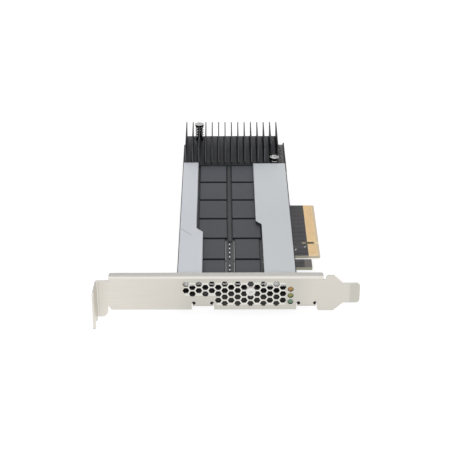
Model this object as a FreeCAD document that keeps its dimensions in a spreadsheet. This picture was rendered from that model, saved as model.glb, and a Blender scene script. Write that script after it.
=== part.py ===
import FreeCAD, Part
import math
import os
import re
import Sketcher

# A half-length storage card for an eight-lane edge slot, lying component side up.
# The origin is the middle of the key slot, on the end edge of the finger and half-way through the board.
# +X points into the slot, +Y runs from the bracket to the card's rear end, +Z is the component side.

# Driving dimensions in millimetres.
SIZES = {
    # Where the bracket and the board stand from the key slot
    "bracket_to_key": 54.85,
    "tab_to_finger": 105.09,
    "card_height": 68.90,
    # Main board
    "board_thickness": 1.57,
    "board_gap": 0.64,
    "finger_reach": 12.29,
    "finger_short": 11.65,
    "finger_long": 38.65,
    "finger_bevel": 0.45,
    "key_width": 1.90,
    "key_depth": 8.25,
    "tab_gap": 3.35,
    "tab_length": 7.70,
    "tab_reach": 7.80,
    "ear_length": 11.50,
    # Gold contacts of the finger
    "contact_pitch": 1.00,
    "contact_width": 0.70,
    "contact_length": 4.20,
    "contact_thickness": 0.05,
    "contact_inset": 1.30,
    "contact_margin": 0.82,
    "short_contacts": 11,
    "long_contacts": 38,
    # Bracket, folded from one sheet
    "sheet_thickness": 0.86,
    "bracket_length": 120.02,
    "bracket_rise": 5.47,
    "bend_inside": 0.15,
    "neck_length": 6.10,
    "neck_width": 5.40,
    "neck_rise": 12.06,
    "neck_drop": 6.79,
    "neck_corner": 3.00,
    "neck_notch": 1.39,
    "face_length": 97.30,
    "face_height": 17.15,
    "face_drop": 3.14,
    "face_chamfer": 0.80,
    "flange_depth": 4.20,
    "flange_corner": 1.20,
    "flange_notch": 1.55,
    "shoulder_width": 18.42,
    "shoulder_low_start": 4.34,
    "shoulder_high_start": 0.59,
    "shoulder_end": 3.01,
    "shoulder_corner": 1.20,
    "tongue_start": 7.41,
    "tongue_width": 10.16,
    "tongue_corner": 1.60,
    "tongue_bend_length": 4.63,
    "tongue_bend_depth": 0.12,
    "screw_tab_depth": 11.43,
    "screw_tab_splay": 0.55,
    "screw_tab_corner": 1.50,
    "notch_width": 4.42,
    "notch_depth": 4.10,
    "notch_place": 6.00,
    # Lugs under the board and their screws
    "lug_depth": 10.50,
    "lug_slit": 0.45,
    "lug_slit_top": 0.26,
    "lug_relief": 1.65,
    "lug_relief_inset": 0.50,
    "lug_corner": 1.20,
    "left_lug_place": 12.53,
    "left_lug_width": 9.30,
    "right_lug_place": 9.04,
    "right_lug_width": 8.50,
    "lug_screw_place": 6.50,
    "lug_screw": 2.90,
    "lug_screw_head": 5.50,
    "lug_screw_head_height": 1.80,
    "lug_screw_length": 4.00,
    # Vent holes of the face
    "vent_across": 2.70,
    "vent_pitch": 2.935,
    "vent_row_pitch": 1.71,
    "vent_start": 35.00,
    "vent_top": 10.31,
    # Screw in the vent field and the post that it holds
    "face_screw": 2.20,
    "face_screw_head": 4.30,
    "face_screw_head_height": 0.60,
    "face_screw_length": 5.00,
    "face_screw_column": 10,
    "face_screw_row": 2,
    "face_screw_drop": 0.40,
    "post_width": 4.20,
    "post_depth": 4.00,
    "post_cap": 2.00,
    # Indicator lights
    "light_place": 16.49,
    "light_low": 0.96,
    "light_pitch": 3.30,
    "light_hole": 2.70,
    "lens_diameter": 2.50,
    "lens_recess": 0.10,
    "light_notch_width": 4.40,
    "light_notch_depth": 2.70,
    "light_holder_width": 4.00,
    "light_holder_depth": 5.30,
    "light_holder_cap": 1.60,
    # Memory board and the connectors that carry it
    "memory_inset": 2.81,
    "memory_right_inset": 13.80,
    "memory_setback": 9.90,
    "memory_length": 121.30,
    "memory_thickness": 1.00,
    "socket_length": 24.00,
    "socket_width": 4.20,
    "socket_height": 1.20,
    "plug_length": 23.00,
    "plug_width": 3.40,
    "plug_height": 0.80,
    "socket_left_place": 10.35,
    "socket_right_place": 5.65,
    "socket_setback": 26.00,
    # Memory chips, the strips between them and the capacitors in front of the strips
    "chip_height": 1.20,
    "chip_left_margin": 7.00,
    "chip_right_margin": 2.30,
    "chip_front_margin": 0.75,
    "chip_rear_margin": 0.10,
    "chip_row_gap": 1.35,
    "chip_column_gap": 2.50,
    "narrow_inner_step": 1.05,
    "narrow_outer_step": 1.00,
    "strip_width": 1.55,
    "strip_height": 1.50,
    "strip_lead": 3.20,
    "strip_joint": 0.40,
    "strip_joint_lead": 3.60,
    "strip_rear_margin": 0.70,
    "capacitor_length": 1.60,
    "capacitor_width": 0.85,
    "capacitor_height": 0.80,
    "capacitor_pitch": 4.03,
    "capacitor_lead": 1.15,
    # Controller chip and heat sink
    "controller_margin": 1.475,
    "substrate_height": 1.60,
    "lid_margin": 2.00,
    "lid_height": 1.90,
    "pad_margin": 0.50,
    "pad_height": 0.33,
    "sink_inset": 1.21,
    "sink_right_inset": 4.30,
    "sink_gap": 1.00,
    "sink_length": 33.95,
    "sink_setback": 0.95,
    "base_height": 2.00,
    "fin_height": 8.65,
    "fin_thickness": 0.55,
    "fin_margin": 0.30,
    "fin_count": 15,
    "root_slot_height": 1.20,
    "root_slot_depth": 0.90,
    "root_slot_room": 0.20,
    # Spring screws of the heat sink
    "rear_screw_place": 7.70,
    "rear_screw_setback": 3.15,
    "front_screw_place": 2.40,
    "front_screw_setback": 2.10,
    "sink_screw": 2.20,
    "sink_screw_hole": 2.60,
    "sink_screw_head": 4.80,
    "sink_screw_head_height": 0.90,
    "screw_pocket": 5.60,
    "rear_screw_reach": 6.60,
    "front_screw_reach": 4.30,
    "rear_spring_height": 8.15,
    "front_spring_height": 1.50,
    "spring_diameter": 4.50,
    "spring_wire": 0.46,
    "rear_spring_turns": 6,
    "front_spring_turns": 2,
    "nut_across": 4.50,
    "nut_height": 1.60,
    # Side covers
    "left_cover_inset": 0.75,
    "right_cover_inset": 1.10,
    "cover_lead": 1.60,
    "cover_height": 6.40,
    "cover_wall": 1.20,
    "cover_clearance": 0.25,
    "cover_round": 0.60,
    "front_wall_drop": 2.00,
    "left_front_wall": 7.85,
    "right_front_wall": 14.60,
    "left_cover_wide": 11.36,
    "left_cover_slim": 8.16,
    "left_step_lag": 2.40,
    "left_step_length": 4.00,
    "right_cover_short": 1.20,
    "right_cover_wide": 17.40,
    "right_cover_slim": 14.60,
    "right_step_lag": 10.40,
    "right_step_length": 3.30,
    "boss_diameter": 4.60,
    "left_boss_place": 4.46,
    "right_boss_place": 7.10,
    "boss_front_place": 15.20,
    "boss_rear_setback": 13.70,
    "cover_screw": 2.00,
    "cover_screw_hole": 2.40,
    "cover_screw_head": 3.80,
    "cover_screw_head_height": 1.20,
    "cover_screw_bite": 1.90,
    "spacer_across": 4.80,
    # Power parts under the right cover
    "inductor_size": 7.00,
    "inductor_height": 4.20,
    "inductor_pitch": 9.50,
    "inductor_start": 8.00,
    "regulator_size": 5.50,
    "regulator_height": 1.00,
    "regulator_pitch": 9.00,
    "regulator_start": 34.50,
    "tantalum_length": 7.30,
    "tantalum_width": 4.30,
    "tantalum_height": 2.80,
    "tantalum_pitch": 6.50,
    "tantalum_setback": 6.50,
    # Rail on the board's edge beside the heat sink
    "rail_width": 0.80,
    "rail_height": 1.20,
    "rail_gap": 1.25,
    # Working clearance of a screw in its thread
    "thread_clearance": 0.05,
}

CHIP_ROWS = 6
NARROW_ROWS = 2  # rows next to the bracket that hold the narrower chips
STRIP_JOINT_ROW = 4  # rows in front of the joint between the two strips
CAPACITORS_IN_ROW = 4
VENT_ROWS = [(0, 8), (1, 8), (0, 8), (1, 8), (6, 5), (5, 6), (6, 5)]  # first column and count of each row
LIGHTS = ("green", "lime", "amber")  # from the lowest up
INDUCTORS = 3
REGULATORS = 2
TANTALUMS = 4

# Places worked out from the driving dimensions.
PLACES = {
    "board_top": "board_thickness / 2",
    "board_bottom": "-board_thickness / 2",
    "board_left": "-card_height",
    "board_shoulder": "-finger_reach",
    "face_outer": "-bracket_to_key",
    "face_inner": "sheet_thickness - bracket_to_key",
    "board_front": "face_inner + board_gap",
    "finger_front": "-key_width / 2 - finger_short",
    "finger_rear": "key_width / 2 + finger_long",
    "tab_rear": "finger_front - tab_gap",
    "tab_front": "tab_rear - tab_length",
    "tab_end": "board_shoulder + tab_reach",
    "ear_rear": "board_front + ear_length",
    "light_x": "-light_place",
    "light_notch_rear": "board_front + light_notch_depth",
    "bracket_left": "-tab_to_finger",
    "tongue_end": "bracket_left + bracket_length",
    "tongue_bend": "tongue_end - tongue_bend_length",
    "face_left": "bracket_left + neck_length",
    "face_right": "face_left + face_length",
    "face_bottom": "-face_drop",
    "face_top": "face_height - face_drop",
    "shoulder_bottom": "bracket_rise - shoulder_width / 2",
    "shoulder_top": "bracket_rise + shoulder_width / 2",
    "tongue_bottom": "bracket_rise - tongue_width / 2",
    "tongue_top": "bracket_rise + tongue_width / 2",
    "lug_bottom": "board_bottom - sheet_thickness",
    "left_lug_x": "board_left + left_lug_place",
    "right_lug_x": "-right_lug_place",
    "lug_screw_y": "face_outer + lug_screw_place",
    "memory_bottom": "board_top + socket_height + plug_height",
    "memory_top": "memory_bottom + memory_thickness",
    "memory_left": "board_left + memory_inset",
    "memory_right": "board_shoulder - memory_right_inset",
    "memory_front": "board_front + memory_setback",
    "memory_rear": "memory_front + memory_length",
    "chip_front": "memory_front + chip_front_margin",
    "chip_pitch": f"(memory_rear - chip_rear_margin - chip_front + chip_row_gap) / {CHIP_ROWS}",
    "chip_length": "chip_pitch - chip_row_gap",
    "chip_span": "memory_right - memory_left - chip_left_margin - chip_right_margin",
    "wide_chip": "(chip_span - chip_column_gap) / 2",
    "wide_chip_gap": "chip_column_gap",
    "narrow_chip": "wide_chip - narrow_inner_step - narrow_outer_step",
    "narrow_chip_gap": "chip_column_gap + 2 * narrow_inner_step",
    "chip_x": "memory_left + chip_left_margin + chip_span / 2",
    "chip_top": "memory_top + chip_height",
    "wide_front": f"chip_front + {NARROW_ROWS} * chip_pitch",
    "strip_front": "wide_front - strip_lead",
    "strip_break": f"chip_front + {STRIP_JOINT_ROW} * chip_pitch - strip_joint_lead",
    "strip_rear": "memory_rear - strip_rear_margin",
    "sink_bottom": "board_top + substrate_height + lid_height + pad_height",
    "base_top": "sink_bottom + base_height",
    "sink_left": "board_left + sink_inset",
    "sink_right": "board_shoulder - sink_right_inset",
    "sink_front": "memory_rear + sink_gap",
    "sink_rear": "sink_front + sink_length",
    "board_rear": "sink_rear + sink_setback",
    "fin_pitch": "(sink_right - sink_left - 2 * fin_margin - fin_thickness) / (fin_count - 1)",
    "rear_screw_x": "sink_left + rear_screw_place",
    "rear_screw_y": "sink_rear - rear_screw_setback",
    "front_screw_x": "sink_right - front_screw_place",
    "front_screw_y": "sink_front + front_screw_setback",
    "controller_x": "(rear_screw_x + front_screw_x) / 2",
    "controller_y": "(sink_front + sink_rear) / 2",
    "substrate_size": "sink_length - 2 * controller_margin",
    "lid_size": "substrate_size - 2 * lid_margin",
    "pad_size": "lid_size - 2 * pad_margin",
    "cover_top": "board_top + cover_height",
    "cover_skirt": "chip_top + cover_clearance",
    "cover_front": "memory_front - cover_lead",
    "left_cover_x": "board_left + left_cover_inset",
    "left_cover_rear": "memory_rear",
    "right_cover_x": "board_shoulder - right_cover_inset",
    "right_cover_rear": "memory_rear - right_cover_short",
    "left_boss_x": "left_cover_x + left_boss_place",
    "right_boss_x": "right_cover_x - right_boss_place",
    "front_boss_y": "cover_front + boss_front_place",
    "rear_boss_y": "memory_rear - boss_rear_setback",
    "rail_front": "right_cover_rear + rail_gap",
    "face_screw_x": "face_left + vent_start + face_screw_column * vent_pitch",
    "face_screw_z": "vent_top - face_screw_row * vent_row_pitch - face_screw_drop",
}

COIL_STEPS = 12  # straight stretches in one turn of a spring
WIRE_SIDES = 5  # flats round a spring's wire
TOUCH = 1e-4  # distance under which a point counts as lying on an edge

doc = FreeCAD.newDocument("storage_card")
sheet = doc.addObject("Spreadsheet::Sheet", "Sizes")
for row, (alias, size) in enumerate(SIZES.items(), 1):
    sheet.set(f"A{row}", alias)
    sheet.set(f"B{row}", str(size))
    sheet.setAlias(f"B{row}", alias)
doc.recompute()


def formula(text):
    """Points each name in a formula at the sheet of sizes or at the worked-out places."""
    def owner(word):
        if word[0] in SIZES:
            return f"Sizes.{word[0]}"
        return f"Places.{word[0]}" if word[0] in PLACES else word[0]
    return re.sub(r"[a-z][a-z_]+", owner, text)


def bind(item, **formulas):
    """Ties properties of an object to formulas."""
    for name, text in formulas.items():
        item.setExpression(name, formula(text))


places = doc.addObject("App::VarSet", "Places")
for name, text in PLACES.items():
    places.addProperty("App::PropertyFloat", name)
    places.setExpression(name, formula(text))
doc.recompute()

nodes = []


def keep(item, label):
    """Names an object as one of the card's pieces."""
    item.Label = label
    nodes.append(item)
    return item


def put(item, x, y, z):
    """Ties an object's place to three formulas."""
    for axis, text in zip("xyz", (x, y, z)):
        item.setExpression(f"Placement.Base.{axis}", formula(text))


def block(name, x, y, z, length, width, height):
    """A box from its lowest corner and its sizes along X, Y and Z."""
    box = doc.addObject("Part::Box", name)
    bind(box, Length=length, Width=width, Height=height)
    put(box, x, y, z)
    return box


def rod(name, x, y, z, diameter, height, along_y=False):
    """A cylinder that stands up from its lower end, or lies along Y from its front end."""
    cylinder = doc.addObject("Part::Cylinder", name)
    bind(cylinder, Radius=f"({diameter}) / 2", Height=height)
    if along_y:
        cylinder.Placement.Rotation = FreeCAD.Rotation(FreeCAD.Vector(1, 0, 0), -90)
    put(cylinder, x, y, z)
    return cylinder


def hexagon(name, x, y, z, across, height):
    """A six-sided prism that stands up from its lower end, sized across its flats."""
    prism = doc.addObject("Part::Prism", name)
    bind(prism, Circumradius=f"{across} / sqrt(3)", Height=height)
    put(prism, x, y, z)
    return prism


def fused(name, items):
    joined = doc.addObject("Part::MultiFuse", name)
    joined.Shapes = items
    return joined


def cut(name, base, tool):
    result = doc.addObject("Part::Cut", name)
    result.Base = base
    result.Tool = tool
    return result


def group(label, items):
    """Like pieces that share one node, each a solid of its own."""
    compound = doc.addObject("Part::Compound", label)
    compound.Links = items
    return keep(compound, label)


def new_body(label):
    return keep(doc.addObject("PartDesign::Body", label), label)


def sketch_on(body, name, plane, level):
    """A sketch on one of the body's origin planes, moved along that plane's normal."""
    sketch = body.newObject("Sketcher::SketchObject", name)
    origin_plane = next(item for item in body.Origin.OriginFeatures if item.Role == plane)
    sketch.AttachmentSupport = [(origin_plane, "")]
    sketch.MapMode = "FlatFace"
    sketch.setExpression("AttachmentOffset.Base.z", formula(level))
    return sketch


def pin_point(sketch, line, point, x, y):
    """Dimensions one point of a sketch from the sketch's origin."""
    for kind, text in (("DistanceX", x), ("DistanceY", y)):
        index = sketch.addConstraint(Sketcher.Constraint(kind, -1, 1, line, point, 1.0))
        sketch.setExpression(f"Constraints[{index}]", formula(text))


def draw_outline(sketch, corners):
    """A closed outline of straight lines through the given corners."""
    first = sketch.GeometryCount
    count = len(corners)
    turns = [2 * math.pi * i / count for i in range(count)]
    ring = [FreeCAD.Vector(math.cos(turn), math.sin(turn), 0) for turn in turns]
    for i in range(count):
        sketch.addGeometry(Part.LineSegment(ring[i], ring[(i + 1) % count]))
    for i in range(count):
        sketch.addConstraint(Sketcher.Constraint("Coincident", first + i, 2, first + (i + 1) % count, 1))
    for i, (x, y) in enumerate(corners):
        pin_point(sketch, first + i, 1, x, y)


def draw_rectangle(sketch, x_low, x_high, y_low, y_high):
    draw_outline(sketch, [(x_low, y_low), (x_high, y_low), (x_high, y_high), (x_low, y_high)])


def draw_circle(sketch, x, y, diameter):
    circle = sketch.addGeometry(Part.Circle(FreeCAD.Vector(1, 1, 0), FreeCAD.Vector(0, 0, 1), 1.0))
    pin_point(sketch, circle, 3, x, y)
    index = sketch.addConstraint(Sketcher.Constraint("Diameter", circle, 1.0))
    sketch.setExpression(f"Constraints[{index}]", formula(diameter))


def pad(body, sketch, length, reverse=False):
    feature = body.newObject("PartDesign::Pad", f"{sketch.Name}_pad")
    feature.Profile = sketch
    feature.Reversed = reverse
    bind(feature, Length=length)
    doc.recompute()
    return feature


def pocket(body, sketch, length=None, reverse=False):
    """Cuts a sketch out of the body, to a depth or right through it."""
    before = body.Shape.Volume
    feature = body.newObject("PartDesign::Pocket", f"{sketch.Name}_cut")
    feature.Profile = sketch
    feature.Reversed = reverse
    if length is None:
        feature.Type = "ThroughAll"
        feature.Midplane = True
    else:
        bind(feature, Length=length)
    doc.recompute()
    if feature.Shape.Volume > before - TOUCH:
        raise RuntimeError(f"{feature.Name} cuts nothing")
    return feature


def repeat(body, feature, pitch, count):
    """Repeats a feature along its own sketch's X axis."""
    pattern = body.newObject("PartDesign::LinearPattern", f"{feature.Name}_row")
    pattern.Originals = [feature]
    pattern.Direction = (feature.Profile[0], ["H_Axis"])
    bind(pattern, Length=f"({pitch}) * ({count} - 1)", Occurrences=f"{count}")
    body.Tip = pattern
    doc.recompute()
    return pattern


def straight_edges(shape, axis, corners):
    """Names of the straight edges along one axis that run through the given corners."""
    across = [i for i in range(3) if i != axis]
    names = []
    for number, edge in enumerate(shape.Edges, 1):
        ends = [vertex.Point for vertex in edge.Vertexes]
        if len(ends) != 2 or any(abs(ends[0][i] - ends[1][i]) > TOUCH for i in across):
            continue
        place = [ends[0][i] for i in across]
        if any(math.dist(place, corner) < TOUCH for corner in corners):
            names.append(f"Edge{number}")
    return names


def round_edges(body, name, radius, edges):
    """Rounds edges of the body's last feature."""
    fillet = body.newObject("PartDesign::Fillet", name)
    fillet.Base = (body.Tip if fillet.BaseFeature is None else fillet.BaseFeature, edges)
    bind(fillet, Radius=radius)
    doc.recompute()
    return fillet


def round_corners(body, name, radius, axis, corners):
    """Rounds the straight edges that run along one axis through the given corners."""
    edges = straight_edges(body.Shape, axis, corners)
    if len(edges) < len(corners):
        raise RuntimeError(f"{name} finds {len(edges)} edges for {len(corners)} corners")
    return round_edges(body, name, radius, edges)


# Main board: one sheet of laminate with the slot finger, a hook tab and an ear for the bracket's right lug
def make_main_board():
    body = new_body("main_board")
    outline = sketch_on(body, "board_outline", "XY_Plane", "board_bottom")
    draw_outline(outline, [
        ("board_left", "board_front"),
        ("light_x - light_notch_width / 2", "board_front"),
        ("light_x - light_notch_width / 2", "light_notch_rear"),
        ("light_x + light_notch_width / 2", "light_notch_rear"),
        ("light_x + light_notch_width / 2", "board_front"),
        ("tab_end", "board_front"),
        ("tab_end", "ear_rear"),
        ("board_shoulder", "ear_rear"),
        ("board_shoulder", "tab_front"),
        ("tab_end", "tab_front"),
        ("tab_end", "tab_rear"),
        ("board_shoulder", "tab_rear"),
        ("board_shoulder", "finger_front"),
        ("0", "finger_front"),
        ("0", "-key_width / 2"),
        ("-key_depth", "-key_width / 2"),
        ("-key_depth", "key_width / 2"),
        ("0", "key_width / 2"),
        ("0", "finger_rear"),
        ("board_shoulder", "finger_rear"),
        ("board_shoulder", "board_rear"),
        ("board_left", "board_rear"),
    ])
    pad(body, outline, "board_thickness")
    bevel = body.newObject("PartDesign::Chamfer", "finger_bevel_cut")
    ends = [(0, places.board_top), (0, places.board_bottom)]
    bevel.Base = (bevel.BaseFeature, straight_edges(bevel.BaseFeature.Shape, 1, ends))
    bind(bevel, Size="finger_bevel")
    doc.recompute()
    holes = sketch_on(body, "board_holes", "XY_Plane", "board_top")
    for x in ("left_lug_x", "right_lug_x"):
        draw_circle(holes, x, "lug_screw_y", "lug_screw + 2 * thread_clearance")
    for side in ("left", "right"):
        for end in ("front", "rear"):
            draw_circle(holes, f"{side}_boss_x", f"{end}_boss_y", "cover_screw_hole")
    for end in ("front", "rear"):
        draw_circle(holes, f"{end}_screw_x", f"{end}_screw_y", "sink_screw_hole")
    pocket(body, holes)


# Gold contacts: thin pads on both faces of the finger, short row in front of the key and long row behind it
def make_edge_contacts(label, level):
    rows = [
        (int(sheet.short_contacts), "finger_front + contact_margin"),
        (int(sheet.long_contacts), "key_width / 2 + contact_margin"),
    ]
    pads = []
    for count, first in rows:
        for i in range(count):
            pads.append(block(
                f"{label}_pad", "-contact_inset - contact_length",
                f"{first} + {i} * contact_pitch - contact_width / 2", level,
                "contact_length", "contact_width", "contact_thickness"))
    group(label, pads)


# Memory board: a second, thinner sheet that lies over the main board
def make_memory_board():
    body = new_body("memory_board")
    outline = sketch_on(body, "memory_outline", "XY_Plane", "memory_bottom")
    draw_rectangle(outline, "memory_left", "memory_right", "memory_front", "memory_rear")
    pad(body, outline, "memory_thickness")
    holes = sketch_on(body, "memory_holes", "XY_Plane", "memory_top")
    for end in ("front", "rear"):
        draw_circle(holes, "left_boss_x", f"{end}_boss_y", "cover_screw_hole")
    pocket(body, holes)


# Stacking connectors: a socket on the main board and a plug under the memory board, face to face
def make_connectors():
    y = "memory_rear - socket_setback"
    for side, inward in (("left", "+"), ("right", "-")):
        x = f"memory_{side} {inward} socket_{side}_place"
        keep(block(f"connector_socket_{side}", f"{x} - socket_width / 2", f"{y} - socket_length / 2",
                   "board_top", "socket_width", "socket_length", "socket_height"), f"connector_socket_{side}")
        keep(block(f"connector_plug_{side}", f"{x} - plug_width / 2", f"{y} - plug_length / 2",
                   "board_top + socket_height", "plug_width", "plug_length", "plug_height"),
             f"connector_plug_{side}")


# Memory chips: two columns of flat packages, the rows by the bracket narrower than the others
def make_memory_chips():
    for row in range(CHIP_ROWS):
        kind = "narrow_chip" if row < NARROW_ROWS else "wide_chip"
        for side in ("left", "right"):
            inner = f"chip_x - {kind}_gap / 2 - {kind}" if side == "left" else f"chip_x + {kind}_gap / 2"
            label = f"memory_chip_{side}_{row + 1}"
            keep(block(label, inner, f"chip_front + {row} * chip_pitch", "memory_top",
                       kind, "chip_length", "chip_height"), label)


# Strips between the chip columns, laid end to end, and the row of capacitors in front of them
def make_centre_line():
    ends = {"front": ("strip_front", "strip_break"), "rear": ("strip_break + strip_joint", "strip_rear")}
    for end, (start, stop) in ends.items():
        keep(block(f"centre_strip_{end}", "chip_x - strip_width / 2", start, "memory_top",
                   "strip_width", f"{stop} - ({start})", "strip_height"), f"centre_strip_{end}")
    capacitors = []
    for row in range(NARROW_ROWS):
        middle = f"chip_front + {row} * chip_pitch + chip_length / 2 - capacitor_lead"
        for i in range(CAPACITORS_IN_ROW):
            y = f"{middle} + {i - (CAPACITORS_IN_ROW - 1) / 2} * capacitor_pitch"
            capacitors.append(block("centre_capacitor", "chip_x - capacitor_width / 2",
                                    f"{y} - capacitor_length / 2", "memory_top",
                                    "capacitor_width", "capacitor_length", "capacitor_height"))
    group("centre_capacitors", capacitors)


# Controller: substrate, metal lid and thermal pad, one on the other under the heat sink
def make_controller():
    def plate(label, size, level, height):
        keep(block(label, f"controller_x - {size} / 2", f"controller_y - {size} / 2", level,
                   size, size, height), label)
    plate("controller_substrate", "substrate_size", "board_top", "substrate_height")
    plate("controller_lid", "lid_size", "board_top + substrate_height", "lid_height")
    plate("thermal_pad", "pad_size", "board_top + substrate_height + lid_height", "pad_height")


# Heat sink: one extrusion, with room cut for its two spring screws and a slot at the root of each inner fin
def make_heat_sink():
    body = new_body("heat_sink")
    base = sketch_on(body, "sink_base", "XY_Plane", "sink_bottom")
    draw_rectangle(base, "sink_left", "sink_right", "sink_front", "sink_rear")
    pad(body, base, "base_height")
    fin = sketch_on(body, "first_fin", "XY_Plane", "base_top")
    draw_rectangle(fin, "sink_left + fin_margin", "sink_left + fin_margin + fin_thickness",
                   "sink_front", "sink_rear")
    repeat(body, pad(body, fin, "fin_height"), "fin_pitch", "fin_count")
    room = sketch_on(body, "screw_room", "XY_Plane", "base_top")
    draw_rectangle(room, "rear_screw_x - screw_pocket / 2", "rear_screw_x + screw_pocket / 2",
                   "sink_rear - rear_screw_reach", "sink_rear + sink_screw")
    draw_rectangle(room, "front_screw_x - screw_pocket / 2", "sink_right + sink_screw",
                   "sink_front - sink_screw", "sink_front + front_screw_reach")
    pocket(body, room, "2 * fin_height", reverse=True)
    holes = sketch_on(body, "sink_holes", "XY_Plane", "base_top")
    for end in ("front", "rear"):
        draw_circle(holes, f"{end}_screw_x", f"{end}_screw_y", "sink_screw_hole")
    pocket(body, holes, "base_height + pad_height")
    slot = sketch_on(body, "root_slot", "XZ_Plane", "-(sink_front)")
    second_fin = "sink_left + fin_margin + fin_pitch"
    draw_rectangle(slot, f"{second_fin} - root_slot_room", f"{second_fin} + fin_thickness + root_slot_room",
                   "base_top - root_slot_height", "base_top")
    repeat(body, pocket(body, slot, "root_slot_depth"), "fin_pitch", "(fin_count - 2)")


# Spring screws: a flat head and a plain shank through the heat sink and the board, held by a nut
def make_sink_fasteners():
    nuts = []
    for end in ("rear", "front"):
        x = f"{end}_screw_x"
        y = f"{end}_screw_y"
        seat = f"base_top + {end}_spring_height"
        head = rod(f"sink_head_{end}", x, y, seat, "sink_screw_head", "sink_screw_head_height")
        shank = rod(f"sink_shank_{end}", x, y, "board_bottom - nut_height", "sink_screw",
                    f"{seat} - board_bottom + nut_height")
        keep(fused(f"heat_sink_screw_{end}", [head, shank]), f"heat_sink_screw_{end}")
        blank = hexagon(f"nut_blank_{end}", x, y, "board_bottom - nut_height", "nut_across", "nut_height")
        thread = rod(f"nut_thread_{end}", x, y, "board_bottom - 2 * nut_height",
                     "sink_screw + 2 * thread_clearance", "3 * nut_height")
        nuts.append(cut(f"nut_{end}", blank, thread))
        make_spring(f"heat_sink_spring_{end}", end)
    group("heat_sink_nuts", nuts)


def make_spring(label, end):
    """A coil of wire from the heat sink's base up to the screw's head."""
    wire = sheet.spring_wire
    radius = (sheet.spring_diameter - wire) / 2
    turns = int(sheet.get(f"{end}_spring_turns"))
    rise = sheet.get(f"{end}_spring_height") - wire
    path = []
    for i in range(turns * COIL_STEPS + 1):
        angle = 2 * math.pi * i / COIL_STEPS
        height = wire / 2 + rise * i / (turns * COIL_STEPS)
        path.append(FreeCAD.Vector(radius * math.cos(angle), radius * math.sin(angle), height))
    section = Part.makePolygon([
        path[0] + FreeCAD.Vector(wire / 2 * math.cos(side), 0, wire / 2 * math.sin(side))
        for side in [2 * math.pi * k / WIRE_SIDES + math.pi / 2 for k in range(WIRE_SIDES + 1)]])
    coil = doc.addObject("Part::Feature", label)
    coil.Shape = Part.makePolygon(path).makePipeShell([section], True, True, 1)
    put(coil, f"{end}_screw_x", f"{end}_screw_y", "base_top")
    keep(coil, label)


# Side covers: moulded shells with a long outer wall on the main board, a front wall, a skirt clear of the
# chips and two bosses
def make_cover(side, inward, seat):
    def inset(place):
        return f"{side}_cover_x {inward} ({place})"

    def shell_outline(sketch, wall):
        step_front = f"wide_front + {side}_step_lag"
        step_rear = f"{step_front} + {side}_step_length"
        front_width, rear_width = ("wide", "slim") if side == "left" else ("slim", "wide")
        front_x = inset(f"{side}_cover_{front_width} - {wall}")
        rear_x = inset(f"{side}_cover_{rear_width} - {wall}")
        rear = f"{side}_cover_rear - {wall}"
        draw_outline(sketch, [
            (inset(wall), f"cover_front + {wall}"), (front_x, f"cover_front + {wall}"), (front_x, step_front),
            (rear_x, step_rear), (rear_x, rear), (inset(wall), rear)])

    body = new_body(f"{side}_cover")
    shell = sketch_on(body, f"{side}_shell", "XY_Plane", "cover_skirt")
    shell_outline(shell, "0")
    pad(body, shell, "cover_top - cover_skirt")
    rim = [f"Edge{i}" for i, edge in enumerate(body.Shape.Edges, 1)
           if all(abs(vertex.Z - places.cover_top) < TOUCH for vertex in edge.Vertexes)]
    round_edges(body, f"{side}_rim", "cover_round", rim)
    hollow = sketch_on(body, f"{side}_hollow", "XY_Plane", "cover_skirt")
    shell_outline(hollow, "cover_wall")
    pocket(body, hollow, "cover_top - cover_skirt - cover_wall", reverse=True)
    wall = sketch_on(body, f"{side}_wall", "XY_Plane", "board_top")
    draw_rectangle(wall, f"{side}_cover_x", inset("cover_wall"), "cover_front", f"{side}_cover_rear")
    pad(body, wall, "cover_skirt - board_top")
    front = sketch_on(body, f"{side}_front", "XY_Plane", "cover_skirt - front_wall_drop")
    draw_rectangle(front, f"{side}_cover_x", inset(f"{side}_front_wall"),
                   "cover_front", "cover_front + cover_wall")
    pad(body, front, "front_wall_drop")
    bosses = sketch_on(body, f"{side}_bosses", "XY_Plane", seat)
    pilots = sketch_on(body, f"{side}_pilots", "XY_Plane", seat)
    for end in ("front", "rear"):
        draw_circle(bosses, f"{side}_boss_x", f"{end}_boss_y", "boss_diameter")
        draw_circle(pilots, f"{side}_boss_x", f"{end}_boss_y", "cover_screw + 2 * thread_clearance")
    pad(body, bosses, f"cover_top - cover_wall - ({seat})")
    pocket(body, pilots, "cover_screw_bite + thread_clearance", reverse=True)


# Spacers between the boards at the left cover's screws, and the four screws driven from below
def make_cover_fasteners():
    spacers = []
    screws = []
    for side, seat in (("left", "memory_top"), ("right", "board_top")):
        for end in ("front", "rear"):
            x = f"{side}_boss_x"
            y = f"{end}_boss_y"
            head = rod(f"cover_head_{side}_{end}", x, y, "board_bottom - cover_screw_head_height",
                       "cover_screw_head", "cover_screw_head_height")
            shank = rod(f"cover_shank_{side}_{end}", x, y, "board_bottom", "cover_screw",
                        f"{seat} + cover_screw_bite - board_bottom")
            screws.append(fused(f"cover_screw_{side}_{end}", [head, shank]))
            if side == "left":
                blank = hexagon(f"spacer_blank_{end}", x, y, "board_top", "spacer_across",
                                "memory_bottom - board_top")
                hole = rod(f"spacer_hole_{end}", x, y, "board_bottom", "cover_screw_hole", "memory_top")
                spacers.append(cut(f"spacer_{end}", blank, hole))
    group("board_spacers", spacers)
    group("cover_screws", screws)


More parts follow.
